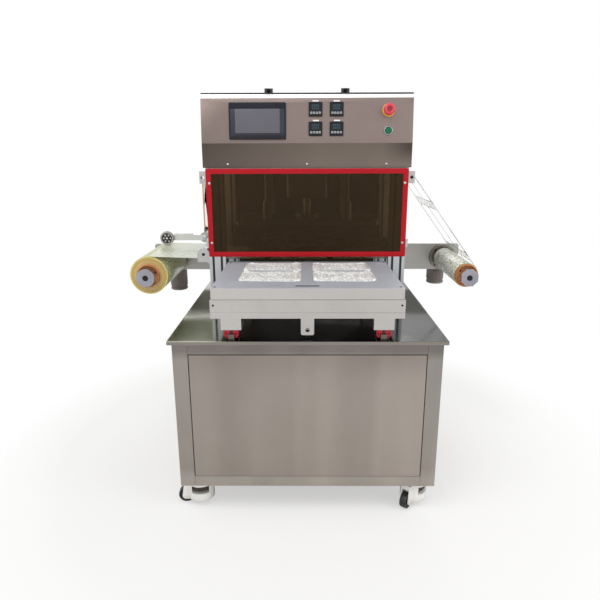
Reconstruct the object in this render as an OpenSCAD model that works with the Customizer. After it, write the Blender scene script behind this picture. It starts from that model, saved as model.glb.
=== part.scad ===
// Drawer tray sealer on a stainless cabinet, in millimetres.
// X runs to the right, Y to the back and Z up. The origin is on the floor, under the middle of the machine.

/* [Cabinet] */
// Width of the worktop
top_w = 845; // [835:5:900]
// Depth of the worktop
top_d = 920; // [910:5:960]
// Height of the worktop above the floor
top_z = 595; // [560:5:640]
// Thickness of the worktop's folded edge
top_t = 12; // [8:1:16]
// How far the worktop stands out past the cabinet
top_over = 12; // [8:1:15]
// Width of each corner post's face
corner_w = 47; // [40:1:60]
// Height of the rail over the front panel
head_rail_h = 34; // [28:1:45]
// Height of the rail under the front panel
foot_rail_h = 36; // [28:1:45]
// Thickness of the cabinet's folded sheet
sheet_t = 2; // [1.5:0.5:3]
// Thickness of the worktop's sheet
top_sheet = 3; // [2:0.5:4]
// Gap round an inset panel
panel_gap = 2; // [1:0.5:3]

/* [Casters] */
// Height from the floor to the cabinet
caster_h = 95; // [92:1:110]
// Diameter of a caster wheel
wheel_d = 52; // [48:1:53]
// Width of a caster wheel
wheel_w = 22; // [18:1:23]
// Distance of a caster's axis from the cabinet's side
caster_in_x = 53; // [50:1:70]
// Distance of a caster's axis from the cabinet's front
caster_in_y = 66; // [50:1:90]
// Swivel angles of the casters: front left, front right, rear left, rear right
caster_turns = [4, 52, 30, -20];

/* [Drawer] */
// Width of the drawer
drawer_w = 580; // [560:2:582]
// Travel of the drawer
drawer_stroke = 371; // [340:1:375]
// Height of the mould's top face above the worktop
mould_top = 159; // [150:1:159]
// Thickness of the mould
mould_t = 34; // [25:1:45]
// Height of the walls under the mould
wall_h = 41; // [30:1:50]
// Thickness of the base plate
base_t = 18; // [12:1:24]
// Distance between the guide rails' middles
rail_gauge = 458; // [430:2:470]
// Length of a tray
tray_l = 196; // [170:1:200]
// Width of a tray
tray_w = 140; // [120:1:142]
// Bar of the mould between the left and right trays
tray_bar = 38; // [30:1:44]
// Bar of the mould between the front and back trays
tray_rib = 5; // [4:1:8]

/* [Press] */
// Place of the press behind the middle of the worktop
press_y = 154; // [145:1:160]
// Distance between the middles of the left and right posts
post_gauge = 650; // [646:2:660]
// Height of the posts
post_h = 476; // [470:1:500]
// Long side of a post
post_w = 60; // [60:1:60]
// Short side of a post
post_t = 30; // [30:1:30]
// Travel of the press
press_stroke = 36; // [20:1:36]
// Width of the sealing die
die_w = 548; // [520:1:560]
// Thickness of the crown plate on the posts
crown_t = 16; // [12:1:20]
// Side of the press cylinder's body
press_cyl_w = 150; // [140:1:156]
// Bore of the press cylinder
press_bore = 125; // [100:5:125]

/* [Film] */
// Width of the film
film_w = 330; // [310:1:330]
// Height of the film above the worktop
film_h = 165; // [163:1:168]
// Distance of the supply shaft from the middle
supply_x = 590; // [580:1:600]
// Diameter of the supply roll
supply_d = 142; // [120:1:142]
// Diameter of the scrap film on the take-up core
take_d = 90; // [88:1:110]
// Height of the winding shafts above the worktop
shaft_h = 101; // [95:1:101]
// Outside diameter of a film core
core_d = 84; // [82:1:86]
// Bore of a film core
core_bore = 76; // [74:1:76]
// Depth of the upper roller's middle under the crown
upper_roller_drop = 17; // [17:1:26]

/* [Control box] */
// Width of the control box
box_w = 725; // [715:1:735]
// Depth of the control box
box_d = 402; // [390:1:420]
// Height of the vertical lower face
skirt_h = 82; // [70:1:90]
// Height of the sloping panel
panel_h = 147; // [140:1:160]
// How far the panel's top leans back
panel_lean = 15; // [8:1:20]
// Height of the bright bevel over the panel
bevel_h = 15; // [10:1:18]

/* [Guard] */
// Width of the front guard
guard_w = 704; // [690:1:710]
// Height of the front guard's lower edge above the mould
guard_lift = 22; // [18:1:40]
// Width of the guard's red border
guard_border_w = 18; // [14:1:20]

/* [Hidden] */
$fn = 48;
over = 5;

// Clearances
seat_gap = 0.3;
weld_gap = 0.2;
run_gap = 0.05;
wind_gap = 0.1;
slide_gap = 0.8;

// Cabinet
cab_w = top_w - 2 * top_over;
cab_d = top_d - 2 * top_over;
cab_z0 = caster_h;
cab_z1 = top_z - top_sheet;
head_rail_z0 = top_z - top_t - head_rail_h;
frame_t = 3;
rail_lip = 24;
panel_rim = 18;
louvre_w = 120;
louvre_h = 6;
louvre_pitch = 16;
louvre_rows = 8;

// Casters
caster_plate_w = 74;
caster_plate_t = 5;
caster_bolt_pitch = 54;
caster_bolt_d = 8;
race_d = 58;
race_t = 8;
drum_d = 86;
drum_z0 = 19;
window_z0 = 46;
window_z1 = 72;
window_half = 28;
thumb_d = 76;
thumb_teeth = 16;
thumb_gap = 0.5;
pad_d = 43;
pad_h = 12;
pad_lift = 14;
stem_d = 14;
trail = 50;
cheek_t = 4;
cheek_gap = 1.5;
cheek_top = 34;
cheek_low_r = 13;
wheel_axle_d = 8;
wheel_hub_d = 30;
caster_x = cab_w / 2 - caster_in_x;
caster_y = cab_d / 2 - caster_in_y;
CASTERS = [
    [-caster_x, -caster_y], [caster_x, -caster_y],
    [-caster_x, caster_y], [caster_x, caster_y],
];

// Guide rails and drawer
rail_w = 20;
rail_h = 17.5;
rail_end_gap = 13;
rail_rear_gap = 50;
rail_hole_d = 5.8;
rail_head_d = 9.5;
rail_head_depth = 8.5;
rail_holes = 7;
rail_groove = 2.2;
carriage_w = 44;
carriage_l = 74;
carriage_h = 30;
carriage_lift = 4.6;
leg_w = 62;
lug_from_front = 43;
lug_t = 15;
lug_w = 28;
tray_front = 226;
tray_rear = 183;
mould_w = drawer_w - 8;
mould_chamfer = 9;
wall_t = 12;
tray_half_y = press_y - drawer_stroke;
drawer_y0 = tray_half_y - tray_front;
drawer_y1 = tray_half_y + tray_rear;
leg_z0 = top_z + carriage_h;
lug_y0 = drawer_y0 + lug_from_front;
mould_z1 = top_z + mould_top;
mould_z0 = mould_z1 - mould_t;
wall_z0 = mould_z0 - wall_h;
base_z0 = wall_z0 - base_t;
tab_w = 40;
tab_t = 8;
tab_r = 6;
tab_below = 16;
tab_hole_d = 13;
rod_z = top_z + 30;
rod_d = 12;
nut_t = 6;
pocket_r = 18;
pocket_gap = 1.5;
tray_flange = 6;
tray_flange_t = 1.5;
tray_depth = 42;
tray_crown = 1.2;
grip_l = 70;
grip_w = 6;
grip_depth = 3;
grip_from_front = 30;
rail_y0 = -top_d / 2 + rail_end_gap;
rail_y1 = top_d / 2 - rail_rear_gap;

// Drawer cylinder
drawer_bore = 32;
drawer_cyl_d = 38;
drawer_cap_w = 46;
drawer_cap_l = 26;
drawer_piston_l = 18;
piston_gap = 0.08;
cyl_front_clear = 4;

// Posts and frame
slot_w = 8.2;
slot_lip = 2.2;
slot_in_w = 16.5;
slot_depth = 7;
slot_pitch = 30;
post_core_d = 6.8;
film_side_gap = 3;
film_y0 = press_y - film_w / 2;
film_y1 = press_y + film_w / 2;
post_in_y0 = film_y0 - film_side_gap;
post_in_y1 = film_y1 + film_side_gap;
frame_y0 = post_in_y0 - post_t;
frame_y1 = post_in_y1 + post_t;
post_x = post_gauge / 2;
post_out = post_x + post_w / 2;
post_z1 = top_z + post_h;
crown_z1 = post_z1 + crown_t;
foot_bracket = 28;
foot_bracket_t = 5;
tie_t = 8;
tie_h = 30;

// Press, whose own heights go with the height of the posts
real_post_h = 476;
press_fit = post_h / real_post_h;
guide_d = 20;
guide_x = 145;
guide_y = 100;
bush_d = 36;
bush_l = 84 * press_fit;
die_bottom = film_h + 1.2;
film_t = 0.6;
rim_h = 9;
rim_t = 5;
die_h = 32 * press_fit;
heater_t = 40 * press_fit;
heater_inset = 14;
press_plate_t = 18 * press_fit;
die_d = film_w - 2 * film_side_gap;
die_z0 = top_z + die_bottom + film_t + press_stroke;
die_z1 = die_z0 + rim_h + die_h;
heater_z1 = die_z1 + heater_t;
plate_z1 = heater_z1 + press_plate_t;
heater_holes = 6;
heater_hole_d = 12;
press_cyl_h = 100 * press_fit;
press_cyl_z0 = post_z1 - press_cyl_h;
press_rod_d = 32;
press_foot_d = 90;
press_foot_t = 12;
press_cap_t = 18;
press_piston_t = 20;
piston_top_gap = 2;
port_d = 12;
tie_bolt_d = 14;
tie_bolt_in = 14;

// Rollers and film path
roller_r = 16.5;
roller_shaft_d = 12;
roller_gap = 0.3;
entrance_x = 380;
exit_x = post_x;
upper_x = 366;
upper_r = 14;
film_z = top_z + film_h;
roller_z = film_z + film_t + roller_gap + roller_r;
tie_over_roller = 29.6;
tie_z0 = roller_z + tie_over_roller;
upper_z = post_z1 - upper_roller_drop;
shaft_z = top_z + shaft_h;
block_w = 22;
block_h = 42;
roller_plate_w = 46;
roller_plate_h = 52;
roller_plate_t = 8;
roller_plate_flange = 6;
take_x = supply_x + 2;
reach_x = supply_x + supply_d / 2;

// Winding shafts
bracket_t = 8;
bracket_h = 113;
bracket_r = 10;
bracket_low = 54;
flange_d = 112;
flange_t = 12;
flange_hub_d = 46;
flange_hub_l = 6;
flange_bolt_pcd = 88;
flange_bolt_d = 9;
shaft_d = 25;
shaft_front = 50;
chuck_l = 24;
chuck_in = 8;
disc_d = 67;
disc_t = 8;
disc_hole_d = 20;
disc_hole_depth = 6;
plate_af = 62;
gearbox_w = 72;
gearbox_d = 60;
gearbox_h = 92;
motor_d = 75;
motor_shift = 15;
supply_motor_z = top_z - 52;
take_motor_z = top_z - 23;
motor_cap_t = 10;
take_film_gap = 0.3;

// Measuring arm
arm_wheel_d = 55;
arm_wheel_w = 16;
arm_wheel_holes = 6;
arm_wheel_hole_d = 9;
arm_wheel_hole_pcd = 28;
arm_wheel_x = supply_x - 10;
arm_pivot_x = 425;
arm_h = 22;
arm_t = 8;
arm_pin_d = 10;
arm_wheel_y = 248;
arm_gap = 1;
arm_lip = 6;
arm_axle_d = 8;

// Control box
box_t = 2;
box_y0 = frame_y0 - 2;
box_y1 = box_y0 + box_d;
box_z0 = crown_z1;
bend_z = box_z0 + skirt_h;
panel_z1 = bend_z + panel_h;
lid_seat_z = panel_z1 + bevel_h;
bevel_lean = 9;
lean_a = atan2(panel_lean, panel_h);
lid_y0 = box_y0 + panel_lean + bevel_lean;
box_flange = 18;
lid_t = 3;
lid_rim = 10;
lid_rim_t = 2;
lid_rim_gap = 3;
hinge_x = 130;
hinge_w = 28;
hinge_leaf_t = 2.5;
hinge_leaf_l = 16;
knuckle_d = 12;
knuckle_share = 0.42;
hinge_pin_d = 5;
hinge_z = lid_seat_z + seat_gap + lid_t + knuckle_d / 2 + 2;

// Instruments on the sloping panel, by their middles along the slope
screen_w = 195;
screen_h = 122;
screen_bezel = 6;
screen_body_inset = 7;
screen_body_depth = 34;
screen_r = 4;
screen_x = -169;
screen_s = 73;
screen_view_w = 154;
screen_view_h = 84;
screen_view_depth = 1;
gauge_w = 47;
gauge_bezel = 5;
gauge_body_w = 43;
gauge_body_depth = 62;
gauge_x = 65;
gauge_pitch_x = 72;
gauge_s = 79;
gauge_pitch_s = 64;
gauge_view_w = 36;
gauge_view_h = 20;
gauge_view_depth = 1;
gauge_view_up = 8;
button_x = 278;
stop_s = 108;
start_s = 41;
button_hole_d = 22.3;
button_neck_d = 22;
button_body_w = 30;
button_body_l = 42;
ring_d = 44;
ring_t = 3;
start_ring_d = 31;
start_ring_t = 4;
stop_stem_d = 12;
stop_head_d = 40;
stop_neck_d = 28;
stop_head_t = 14;
stop_stand = 9;
stop_travel = 4;
start_cap_d = 22;
start_cap_t = 5;
start_travel = 2.5;

// Guard
guard_t = 6;
border_t = 0.8;
guard_r = 12;
guard_stand = 10;
guard_z1 = box_z0 - 2;
guard_z0 = mould_z1 + guard_lift;
guard_h = guard_z1 - guard_z0;
guard_y1 = frame_y0 - guard_stand;
guard_y0 = guard_y1 - guard_t;
guard_screw_x = post_x + slot_pitch / 2;
guard_screw_low = 50;
guard_screw_high = 50;
screw_d = 6;
screw_head_d = 11;
screw_head_t = 4;
spacer_d = 14;
side_guard_t = 5;
side_guard_gap = 23;
side_guard_z0 = tie_z0 + tie_h + side_guard_gap;
rear_guard_lift = 60;
rear_guard_z0 = top_z + rear_guard_lift;
rear_guard_in = 30;
rear_screw_low = 35;
skirt_screw_x = 275;
skirt_screw_up = 12;

// A block between two opposite corners
module block(lo, hi) {
    translate(lo) cube(hi - lo);
}

// A round bar along Y between two places
module bar_y(d, x, z, y0, y1) {
    translate([x, y1, z]) rotate([90, 0, 0]) cylinder(d = d, h = y1 - y0);
}

// A round bar along X between two places
module bar_x(d, y, z, x0, x1) {
    translate([x0, y, z]) rotate([0, 90, 0]) cylinder(d = d, h = x1 - x0);
}

// A round bar along Z between two heights
module bar_z(d, x, y, z0, z1) {
    translate([x, y, z0]) cylinder(d = d, h = z1 - z0);
}

// A rectangle with round corners, about its middle
module rounded_rect(w, h, r) {
    square([w - 2 * r, h], center = true);
    square([w, h - 2 * r], center = true);
    for (sx = [-1, 1], sy = [-1, 1])
        translate([sx * (w / 2 - r), sy * (h / 2 - r)]) circle(r);
}

// A shape drawn in X and Z, carried from y0 to y1
module along_y(y0, y1) {
    translate([0, y1, 0]) rotate([90, 0, 0]) linear_extrude(y1 - y0) children();
}

// A shape drawn in Y and Z, carried across X about the middle
module along_x(w) {
    rotate([90, 0, 90]) linear_extrude(w, center = true) children();
}

// The frame of the sloping panel: X to the right, Y into the box, Z up the slope from the bend
module on_panel(x, s) {
    translate([x, box_y0, bend_z]) rotate([-lean_a, 0, 0]) translate([0, 0, s]) children();
}

// A folded corner of the cabinet, an L in plan
module corner_angle(sx, sy) {
    translate([sx * cab_w / 2, sy * cab_d / 2, cab_z0])
        mirror([sx > 0 ? 1 : 0, 0, 0]) mirror([0, sy > 0 ? 1 : 0, 0])
            linear_extrude(cab_z1 - cab_z0)
                difference() {
                    square(corner_w);
                    translate([frame_t, frame_t]) square(corner_w);
                }
}

// A rail with its lip turned inward, drawn along X at the front face
module front_rail(z0, z1, lip_z0) {
    half = cab_w / 2 - corner_w - weld_gap;
    block([-half, -cab_d / 2, z0], [half, -cab_d / 2 + frame_t, z1]);
    block([-half, -cab_d / 2, lip_z0], [half, -cab_d / 2 + rail_lip, lip_z0 + frame_t]);
}

// The same rail at a side face
module side_rail(z0, z1, lip_z0) {
    half = cab_d / 2 - corner_w - weld_gap;
    block([-cab_w / 2, -half, z0], [-cab_w / 2 + frame_t, half, z1]);
    block([-cab_w / 2, -half, lip_z0], [-cab_w / 2 + rail_lip, half, lip_z0 + frame_t]);
}

module cabinet_frame() {
    foot_z1 = cab_z0 + foot_rail_h;
    color("#A09890") {
        for (sx = [-1, 1], sy = [-1, 1]) corner_angle(sx, sy);
        for (turn = [0, 1]) {
            mirror([0, turn, 0]) front_rail(cab_z0, foot_z1, foot_z1 - frame_t);
            mirror([0, turn, 0]) front_rail(head_rail_z0, cab_z1, cab_z1 - frame_t);
            mirror([turn, 0, 0]) side_rail(cab_z0, foot_z1, foot_z1 - frame_t);
            mirror([turn, 0, 0]) side_rail(head_rail_z0, cab_z1, cab_z1 - frame_t);
        }
        inner = frame_t + weld_gap;
        block([-cab_w / 2 + inner, -cab_d / 2 + inner, cab_z0],
            [cab_w / 2 - inner, cab_d / 2 - inner, cab_z0 + frame_t]);
    }
}

// A sheet panel with its rims folded inward, its face at y = 0 and its body behind it
module rimmed_panel(w, z0, z1) {
    difference() {
        block([-w / 2, 0, z0], [w / 2, panel_rim, z1]);
        block([-w / 2 + sheet_t, sheet_t, z0 + sheet_t], [w / 2 - sheet_t, panel_rim + over, z1 - sheet_t]);
    }
}

panel_z_low = cab_z0 + foot_rail_h + seat_gap;
panel_z_high = head_rail_z0 - panel_gap;

module cabinet_panels() {
    side_w = cab_d - 2 * corner_w - 2 * panel_gap;
    back_w = cab_w - 2 * corner_w - 2 * panel_gap;
    color("#A59C94") {
        translate([0, -cab_d / 2, 0]) rimmed_panel(back_w, panel_z_low, panel_z_high);
        for (turn = [-90, 90])
            rotate(turn) translate([0, -cab_w / 2, 0]) rimmed_panel(side_w, panel_z_low, panel_z_high);
        rotate(180) translate([0, -cab_d / 2, 0])
            difference() {
                rimmed_panel(back_w, panel_z_low, panel_z_high);
                for (sx = [-1, 1], row = [0 : louvre_rows - 1])
                    translate([sx * back_w / 4, 0, panel_z_high - back_w / 4 + row * louvre_pitch])
                        block([-louvre_w / 2, -over, 0], [louvre_w / 2, sheet_t + over, louvre_h]);
            }
    }
}

module worktop() {
    color("#6E6A64")
        difference() {
            block([-top_w / 2, -top_d / 2, top_z - top_t], [top_w / 2, top_d / 2, top_z]);
            block([-top_w / 2 + top_sheet, -top_d / 2 + top_sheet, top_z - top_t - over],
                [top_w / 2 - top_sheet, top_d / 2 - top_sheet, top_z - top_sheet]);
        }
}

module caster_plates() {
    color("#C8C8C4")
        for (p = CASTERS)
            translate([p[0], p[1], caster_h - caster_plate_t])
                difference() {
                    linear_extrude(caster_plate_t)
                        rounded_rect(caster_plate_w, caster_plate_w, caster_bolt_d);
                    translate([0, 0, -over]) cylinder(d = stem_d, h = caster_plate_t + 2 * over);
                    for (sx = [-1, 1], sy = [-1, 1])
                        translate([sx * caster_bolt_pitch / 2, sy * caster_bolt_pitch / 2, -over])
                            cylinder(d = caster_bolt_d, h = caster_plate_t + 2 * over);
                }
}

// Cheek of the caster's fork, from the drum down past the wheel's axle
module caster_cheek(z1) {
    axle_z = wheel_d / 2;
    linear_extrude(cheek_t) {
        polygon([
            [-trail - cheek_low_r, axle_z], [-trail - cheek_low_r / 3, z1], [-cheek_top + cheek_t, z1],
            [-cheek_top + cheek_t, axle_z - cheek_low_r], [-trail, axle_z - cheek_low_r],
        ]);
        translate([-trail, axle_z]) circle(cheek_low_r);
    }
}

// The die-cast body of a caster, with the wheel behind it towards -X
module caster_body(i) {
    top = caster_h - caster_plate_t - seat_gap;
    side = wheel_w / 2 + cheek_gap;
    color("#E6E2D8")
        translate([CASTERS[i][0], CASTERS[i][1], 0]) rotate(caster_turns[i]) {
            difference() {
                union() {
                    translate([0, 0, drum_z0]) cylinder(d = drum_d, h = top - race_t - drum_z0);
                    translate([0, 0, top - race_t - over]) cylinder(d = race_d, h = race_t + over);
                    block([-trail - cheek_low_r / 3, -side - cheek_t, top - 3 * race_t],
                        [-drum_d / 4, side + cheek_t, top - race_t]);
                    for (s = [-1, 1])
                        translate([0, s * (side + cheek_t / 2) + cheek_t / 2, 0])
                            rotate([90, 0, 0]) caster_cheek(top - race_t);
                }
                block([-window_half, -drum_d, window_z0], [window_half, drum_d, window_z1]);
                translate([0, 0, wheel_d + thumb_gap])
                    cylinder(d = thumb_d + 2 * slide_gap, h = window_z1 - wheel_d - thumb_gap);
                translate([0, 0, -over]) cylinder(d = stem_d + 2 * run_gap, h = top + 2 * over);
                cylinder(d = pad_d + 2 * slide_gap, h = pad_lift + pad_h + slide_gap);
                translate([-trail, side, wheel_d / 2]) rotate([90, 0, 0])
                    cylinder(d = wheel_d + 2 * cheek_gap, h = 2 * side);
            }
            translate([-trail, side + cheek_t, wheel_d / 2]) rotate([90, 0, 0])
                cylinder(d = wheel_axle_d, h = 2 * (side + cheek_t));
        }
}

module caster_wheel(i) {
    color("#1E1E20")
        translate([CASTERS[i][0], CASTERS[i][1], 0]) rotate(caster_turns[i])
            translate([-trail, wheel_w / 2, wheel_d / 2]) rotate([90, 0, 0])
                difference() {
                    cylinder(d = wheel_d, h = wheel_w);
                    translate([0, 0, -over]) cylinder(d = wheel_axle_d + 2 * run_gap, h = wheel_w + 2 * over);
                    for (z = [-over, wheel_w - 3])
                        translate([0, 0, z])
                            difference() {
                                cylinder(d = wheel_d - 12, h = 3 + over);
                                cylinder(d = wheel_hub_d / 2, h = 3 + over);
                            }
                }
}

// The serrated thumbwheel, held in the drum's window, that winds the foot down
module caster_thumb(i) {
    z0 = wheel_d + 2 * thumb_gap;
    height = window_z1 - thumb_gap - z0;
    color("#3A2620")
        translate([CASTERS[i][0], CASTERS[i][1], z0]) rotate(caster_turns[i])
            difference() {
                cylinder(d = thumb_d, h = height);
                translate([0, 0, -over]) cylinder(d = stem_d + 2 * run_gap, h = height + 2 * over);
                for (k = [0 : thumb_teeth - 1])
                    rotate(k * 360 / thumb_teeth) translate([thumb_d / 2, 0, -over])
                        cylinder(d = thumb_d / thumb_teeth, h = height + 2 * over);
            }
}

// The levelling foot: a rubber pad on a threaded stem
module caster_foot(i) {
    stem_top = caster_h - caster_plate_t - race_t;
    color("#2C2A28")
        translate([CASTERS[i][0], CASTERS[i][1], pad_lift]) {
            cylinder(d = pad_d, h = pad_h);
            cylinder(d = stem_d, h = stem_top - pad_lift);
        }
}

// A profile guide rail with grooved flanks and sunk screw holes
module guide_rails() {
    length = rail_y1 - rail_y0;
    color("#9AA0A4")
        for (s = [-1, 1])
            translate([s * rail_gauge / 2, 0, top_z])
                difference() {
                    along_y(rail_y0, rail_y1)
                        polygon([
                            [-rail_w / 2, 0], [rail_w / 2, 0], [rail_w / 2, rail_h / 3],
                            [rail_w / 2 - rail_groove, rail_h / 2], [rail_w / 2, rail_h * 2 / 3],
                            [rail_w / 2, rail_h], [-rail_w / 2, rail_h], [-rail_w / 2, rail_h * 2 / 3],
                            [-rail_w / 2 + rail_groove, rail_h / 2], [-rail_w / 2, rail_h / 3],
                        ]);
                    for (k = [0 : rail_holes - 1])
                        translate([0, rail_y0 + (k + 1 / 2) * length / rail_holes, 0]) {
                            translate([0, 0, -over]) cylinder(d = rail_hole_d, h = rail_h + 2 * over);
                            translate([0, 0, rail_h - rail_head_depth])
                                cylinder(d = rail_head_d, h = rail_head_depth + over);
                        }
                }
}

CARRIAGE_Y = [drawer_y0 + 3, drawer_y1 - carriage_l - 3];

module rail_carriages() {
    color("#C8303C")
        for (s = [-1, 1], y0 = CARRIAGE_Y)
            translate([s * rail_gauge / 2, 0, top_z])
                difference() {
                    block([-carriage_w / 2, y0, carriage_lift], [carriage_w / 2, y0 + carriage_l, carriage_h]);
                    block([-rail_w / 2 - slide_gap, y0 - over, -over],
                        [rail_w / 2 + slide_gap, y0 + carriage_l + over, rail_h + slide_gap]);
                }
}

module drawer_base() {
    half = drawer_w / 2;
    color("#BDB8B4")
        difference() {
            union() {
                block([-half, drawer_y0, base_z0], [half, drawer_y1, wall_z0]);
                block([-lug_w / 2, lug_y0, rod_z - lug_w / 2], [lug_w / 2, lug_y0 + lug_t, base_z0 + 1]);
                for (s = [-1, 1], y0 = CARRIAGE_Y)
                    block([s * rail_gauge / 2 - leg_w / 2, y0 - 3, leg_z0],
                        [s * rail_gauge / 2 + leg_w / 2, y0 + carriage_l + 3, base_z0]);
                along_y(drawer_y0, drawer_y0 + tab_t) {
                    translate([0, (rod_z - tab_below + tab_r + base_z0) / 2])
                        square([tab_w, base_z0 - rod_z + tab_below - tab_r], center = true);
                    translate([0, rod_z - tab_below + tab_r])
                        square([tab_w - 2 * tab_r, 2 * tab_r], center = true);
                    for (s = [-1, 1])
                        translate([s * (tab_w / 2 - tab_r), rod_z - tab_below + tab_r]) circle(tab_r);
                }
            }
            bar_y(tab_hole_d, 0, rod_z, drawer_y0 - over, drawer_y0 + tab_t + over);
            bar_y(rod_d + 2 * run_gap, 0, rod_z, lug_y0 - over, lug_y0 + lug_t + over);
        }
}

module drawer_walls() {
    half = drawer_w / 2;
    color("#BDB8B4")
        difference() {
            block([-half, drawer_y0, wall_z0], [half, drawer_y1, mould_z0]);
            block([-half + wall_t, drawer_y0 + wall_t, wall_z0 - over],
                [half - wall_t, drawer_y1 - wall_t, mould_z0 + over]);
        }
}

// The middles of the four trays, in the drawer's open place
TRAY_PLACES = [
    for (sx = [-1, 1], sy = [-1, 1])
        [sx * (tray_bar + tray_l) / 2, tray_half_y + sy * (tray_rib + tray_w) / 2],
];

module tray_mould() {
    half = mould_w / 2;
    c = mould_chamfer;
    color("#AAACB0")
        difference() {
            translate([0, 0, mould_z0])
                linear_extrude(mould_t)
                    polygon([
                        [-half, drawer_y0], [half, drawer_y0], [half, drawer_y1 - c],
                        [half - c, drawer_y1], [-half + c, drawer_y1], [-half, drawer_y1 - c],
                    ]);
            for (p = TRAY_PLACES)
                translate([p[0], p[1], mould_z0 - over])
                    linear_extrude(mould_t + 2 * over)
                        rounded_rect(tray_l - 2 * tray_flange + 2 * pocket_gap,
                            tray_w - 2 * tray_flange + 2 * pocket_gap, pocket_r);
            translate([0, drawer_y0 + grip_from_front, mould_z1 - grip_depth])
                linear_extrude(grip_depth + over) rounded_rect(grip_l, grip_w, grip_w / 2 - run_gap);
        }
}

module trays() {
    color("#E8E8E2")
        for (p = TRAY_PLACES)
            translate([p[0], p[1], mould_z1]) {
                linear_extrude(tray_flange_t) rounded_rect(tray_l, tray_w, pocket_r);
                translate([0, 0, -tray_depth])
                    linear_extrude(tray_depth + tray_flange_t + tray_crown)
                        rounded_rect(tray_l - 2 * tray_flange, tray_w - 2 * tray_flange,
                            pocket_r - pocket_gap);
            }
}

cyl_y0 = lug_y0 + lug_t + drawer_stroke + cyl_front_clear;
cyl_in_y0 = cyl_y0 + drawer_cap_l;
cyl_in_y1 = cyl_in_y0 + drawer_stroke + drawer_piston_l + 2;
cyl_y1 = cyl_in_y1 + drawer_cap_l;

// The cylinder that drives the drawer, under it, with its rod out at rest
module drawer_cylinder() {
    half = drawer_cap_w / 2;
    color("#B4B8BC")
        difference() {
            union() {
                bar_y(drawer_cyl_d, 0, rod_z, cyl_y0, cyl_y1);
                for (y0 = [cyl_y0, cyl_y1 - drawer_cap_l])
                    block([-half, y0, top_z], [half, y0 + drawer_cap_l, rod_z + half]);
            }
            bar_y(drawer_bore, 0, rod_z, cyl_in_y0, cyl_in_y1);
            bar_y(rod_d + 2 * run_gap, 0, rod_z, cyl_y0 - over, cyl_in_y0 + over);
        }
}

module drawer_rod() {
    color("#D8DADC") {
        bar_y(rod_d, 0, rod_z, lug_y0 - nut_t - seat_gap - rod_d / 3, cyl_in_y0 + 1);
        bar_y(drawer_bore - 2 * piston_gap, 0, rod_z, cyl_in_y0 + 1, cyl_in_y0 + 1 + drawer_piston_l);
        along_y(lug_y0 - nut_t - seat_gap, lug_y0 - seat_gap)
            translate([0, rod_z]) circle(d = rod_d * 1.8, $fn = 6);
    }
}

// One T-slot of a post, drawn with its mouth on the X axis and its depth along -Y
module t_slot() {
    translate([-slot_w / 2, -slot_lip - 1]) square([slot_w, slot_lip + 1 + over]);
    translate([-slot_in_w / 2, -slot_depth])
        polygon([
            [0, slot_depth - slot_lip], [slot_in_w, slot_depth - slot_lip],
            [slot_in_w, slot_depth - slot_lip - 1], [slot_in_w - slot_lip * 2, 0],
            [slot_lip * 2, 0], [0, slot_depth - slot_lip - 1],
        ]);
}

module post_profile() {
    difference() {
        square([post_w, post_t], center = true);
        for (sx = [-1, 1], turn = [0, 180])
            rotate(turn) translate([sx * slot_pitch / 2, post_t / 2]) t_slot();
        for (turn = [90, -90]) rotate(turn) translate([0, post_w / 2]) t_slot();
        for (sx = [-1, 1]) translate([sx * slot_pitch / 2, 0]) circle(d = post_core_d);
    }
}

// An angle bracket in the corner between a post and the worktop
module foot_angle() {
    difference() {
        block([-foot_bracket / 2, 0, 0], [foot_bracket / 2, foot_bracket, foot_bracket]);
        translate([-foot_bracket / 2 + foot_bracket_t, foot_bracket_t, foot_bracket_t])
            cube([foot_bracket - 2 * foot_bracket_t, foot_bracket, foot_bracket]);
        translate([-foot_bracket, foot_bracket, foot_bracket_t]) rotate([45, 0, 0])
            cube([2 * foot_bracket, 2 * foot_bracket, 2 * foot_bracket]);
    }
}

// The four slotted posts, and their foot brackets and side tie bars, which lie a hair off them
module press_posts() {
    color("#B4B9BC") {
        for (sx = [-1, 1], y = [frame_y0 + post_t / 2, frame_y1 - post_t / 2])
            translate([sx * post_x, y, top_z]) linear_extrude(post_h) post_profile();
        for (sx = [-1, 1]) {
            translate([sx * post_x, post_in_y0 + weld_gap, top_z]) foot_angle();
            translate([sx * post_x, post_in_y1 - weld_gap, top_z]) mirror([0, 1, 0]) foot_angle();
            block([sx * (post_out + (tie_t + weld_gap) / 2) - (tie_t - weld_gap) / 2, frame_y0, tie_z0],
                [sx * (post_out + (tie_t + weld_gap) / 2) + (tie_t - weld_gap) / 2, frame_y1, tie_z0 + tie_h]);
        }
    }
}

GUIDES = [for (sx = [-1, 1], sy = [-1, 1]) [sx * guide_x, press_y + sy * guide_y]];

// The crown on the posts, with the four rods that guide the press under it
module crown_plate() {
    color("#9EA2A6") {
        block([-post_out, frame_y0, post_z1], [post_out, frame_y1, crown_z1]);
        for (p = GUIDES) bar_z(guide_d, p[0], p[1], heater_z1 + seat_gap * 10, post_z1 - seat_gap);
    }
}

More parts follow.
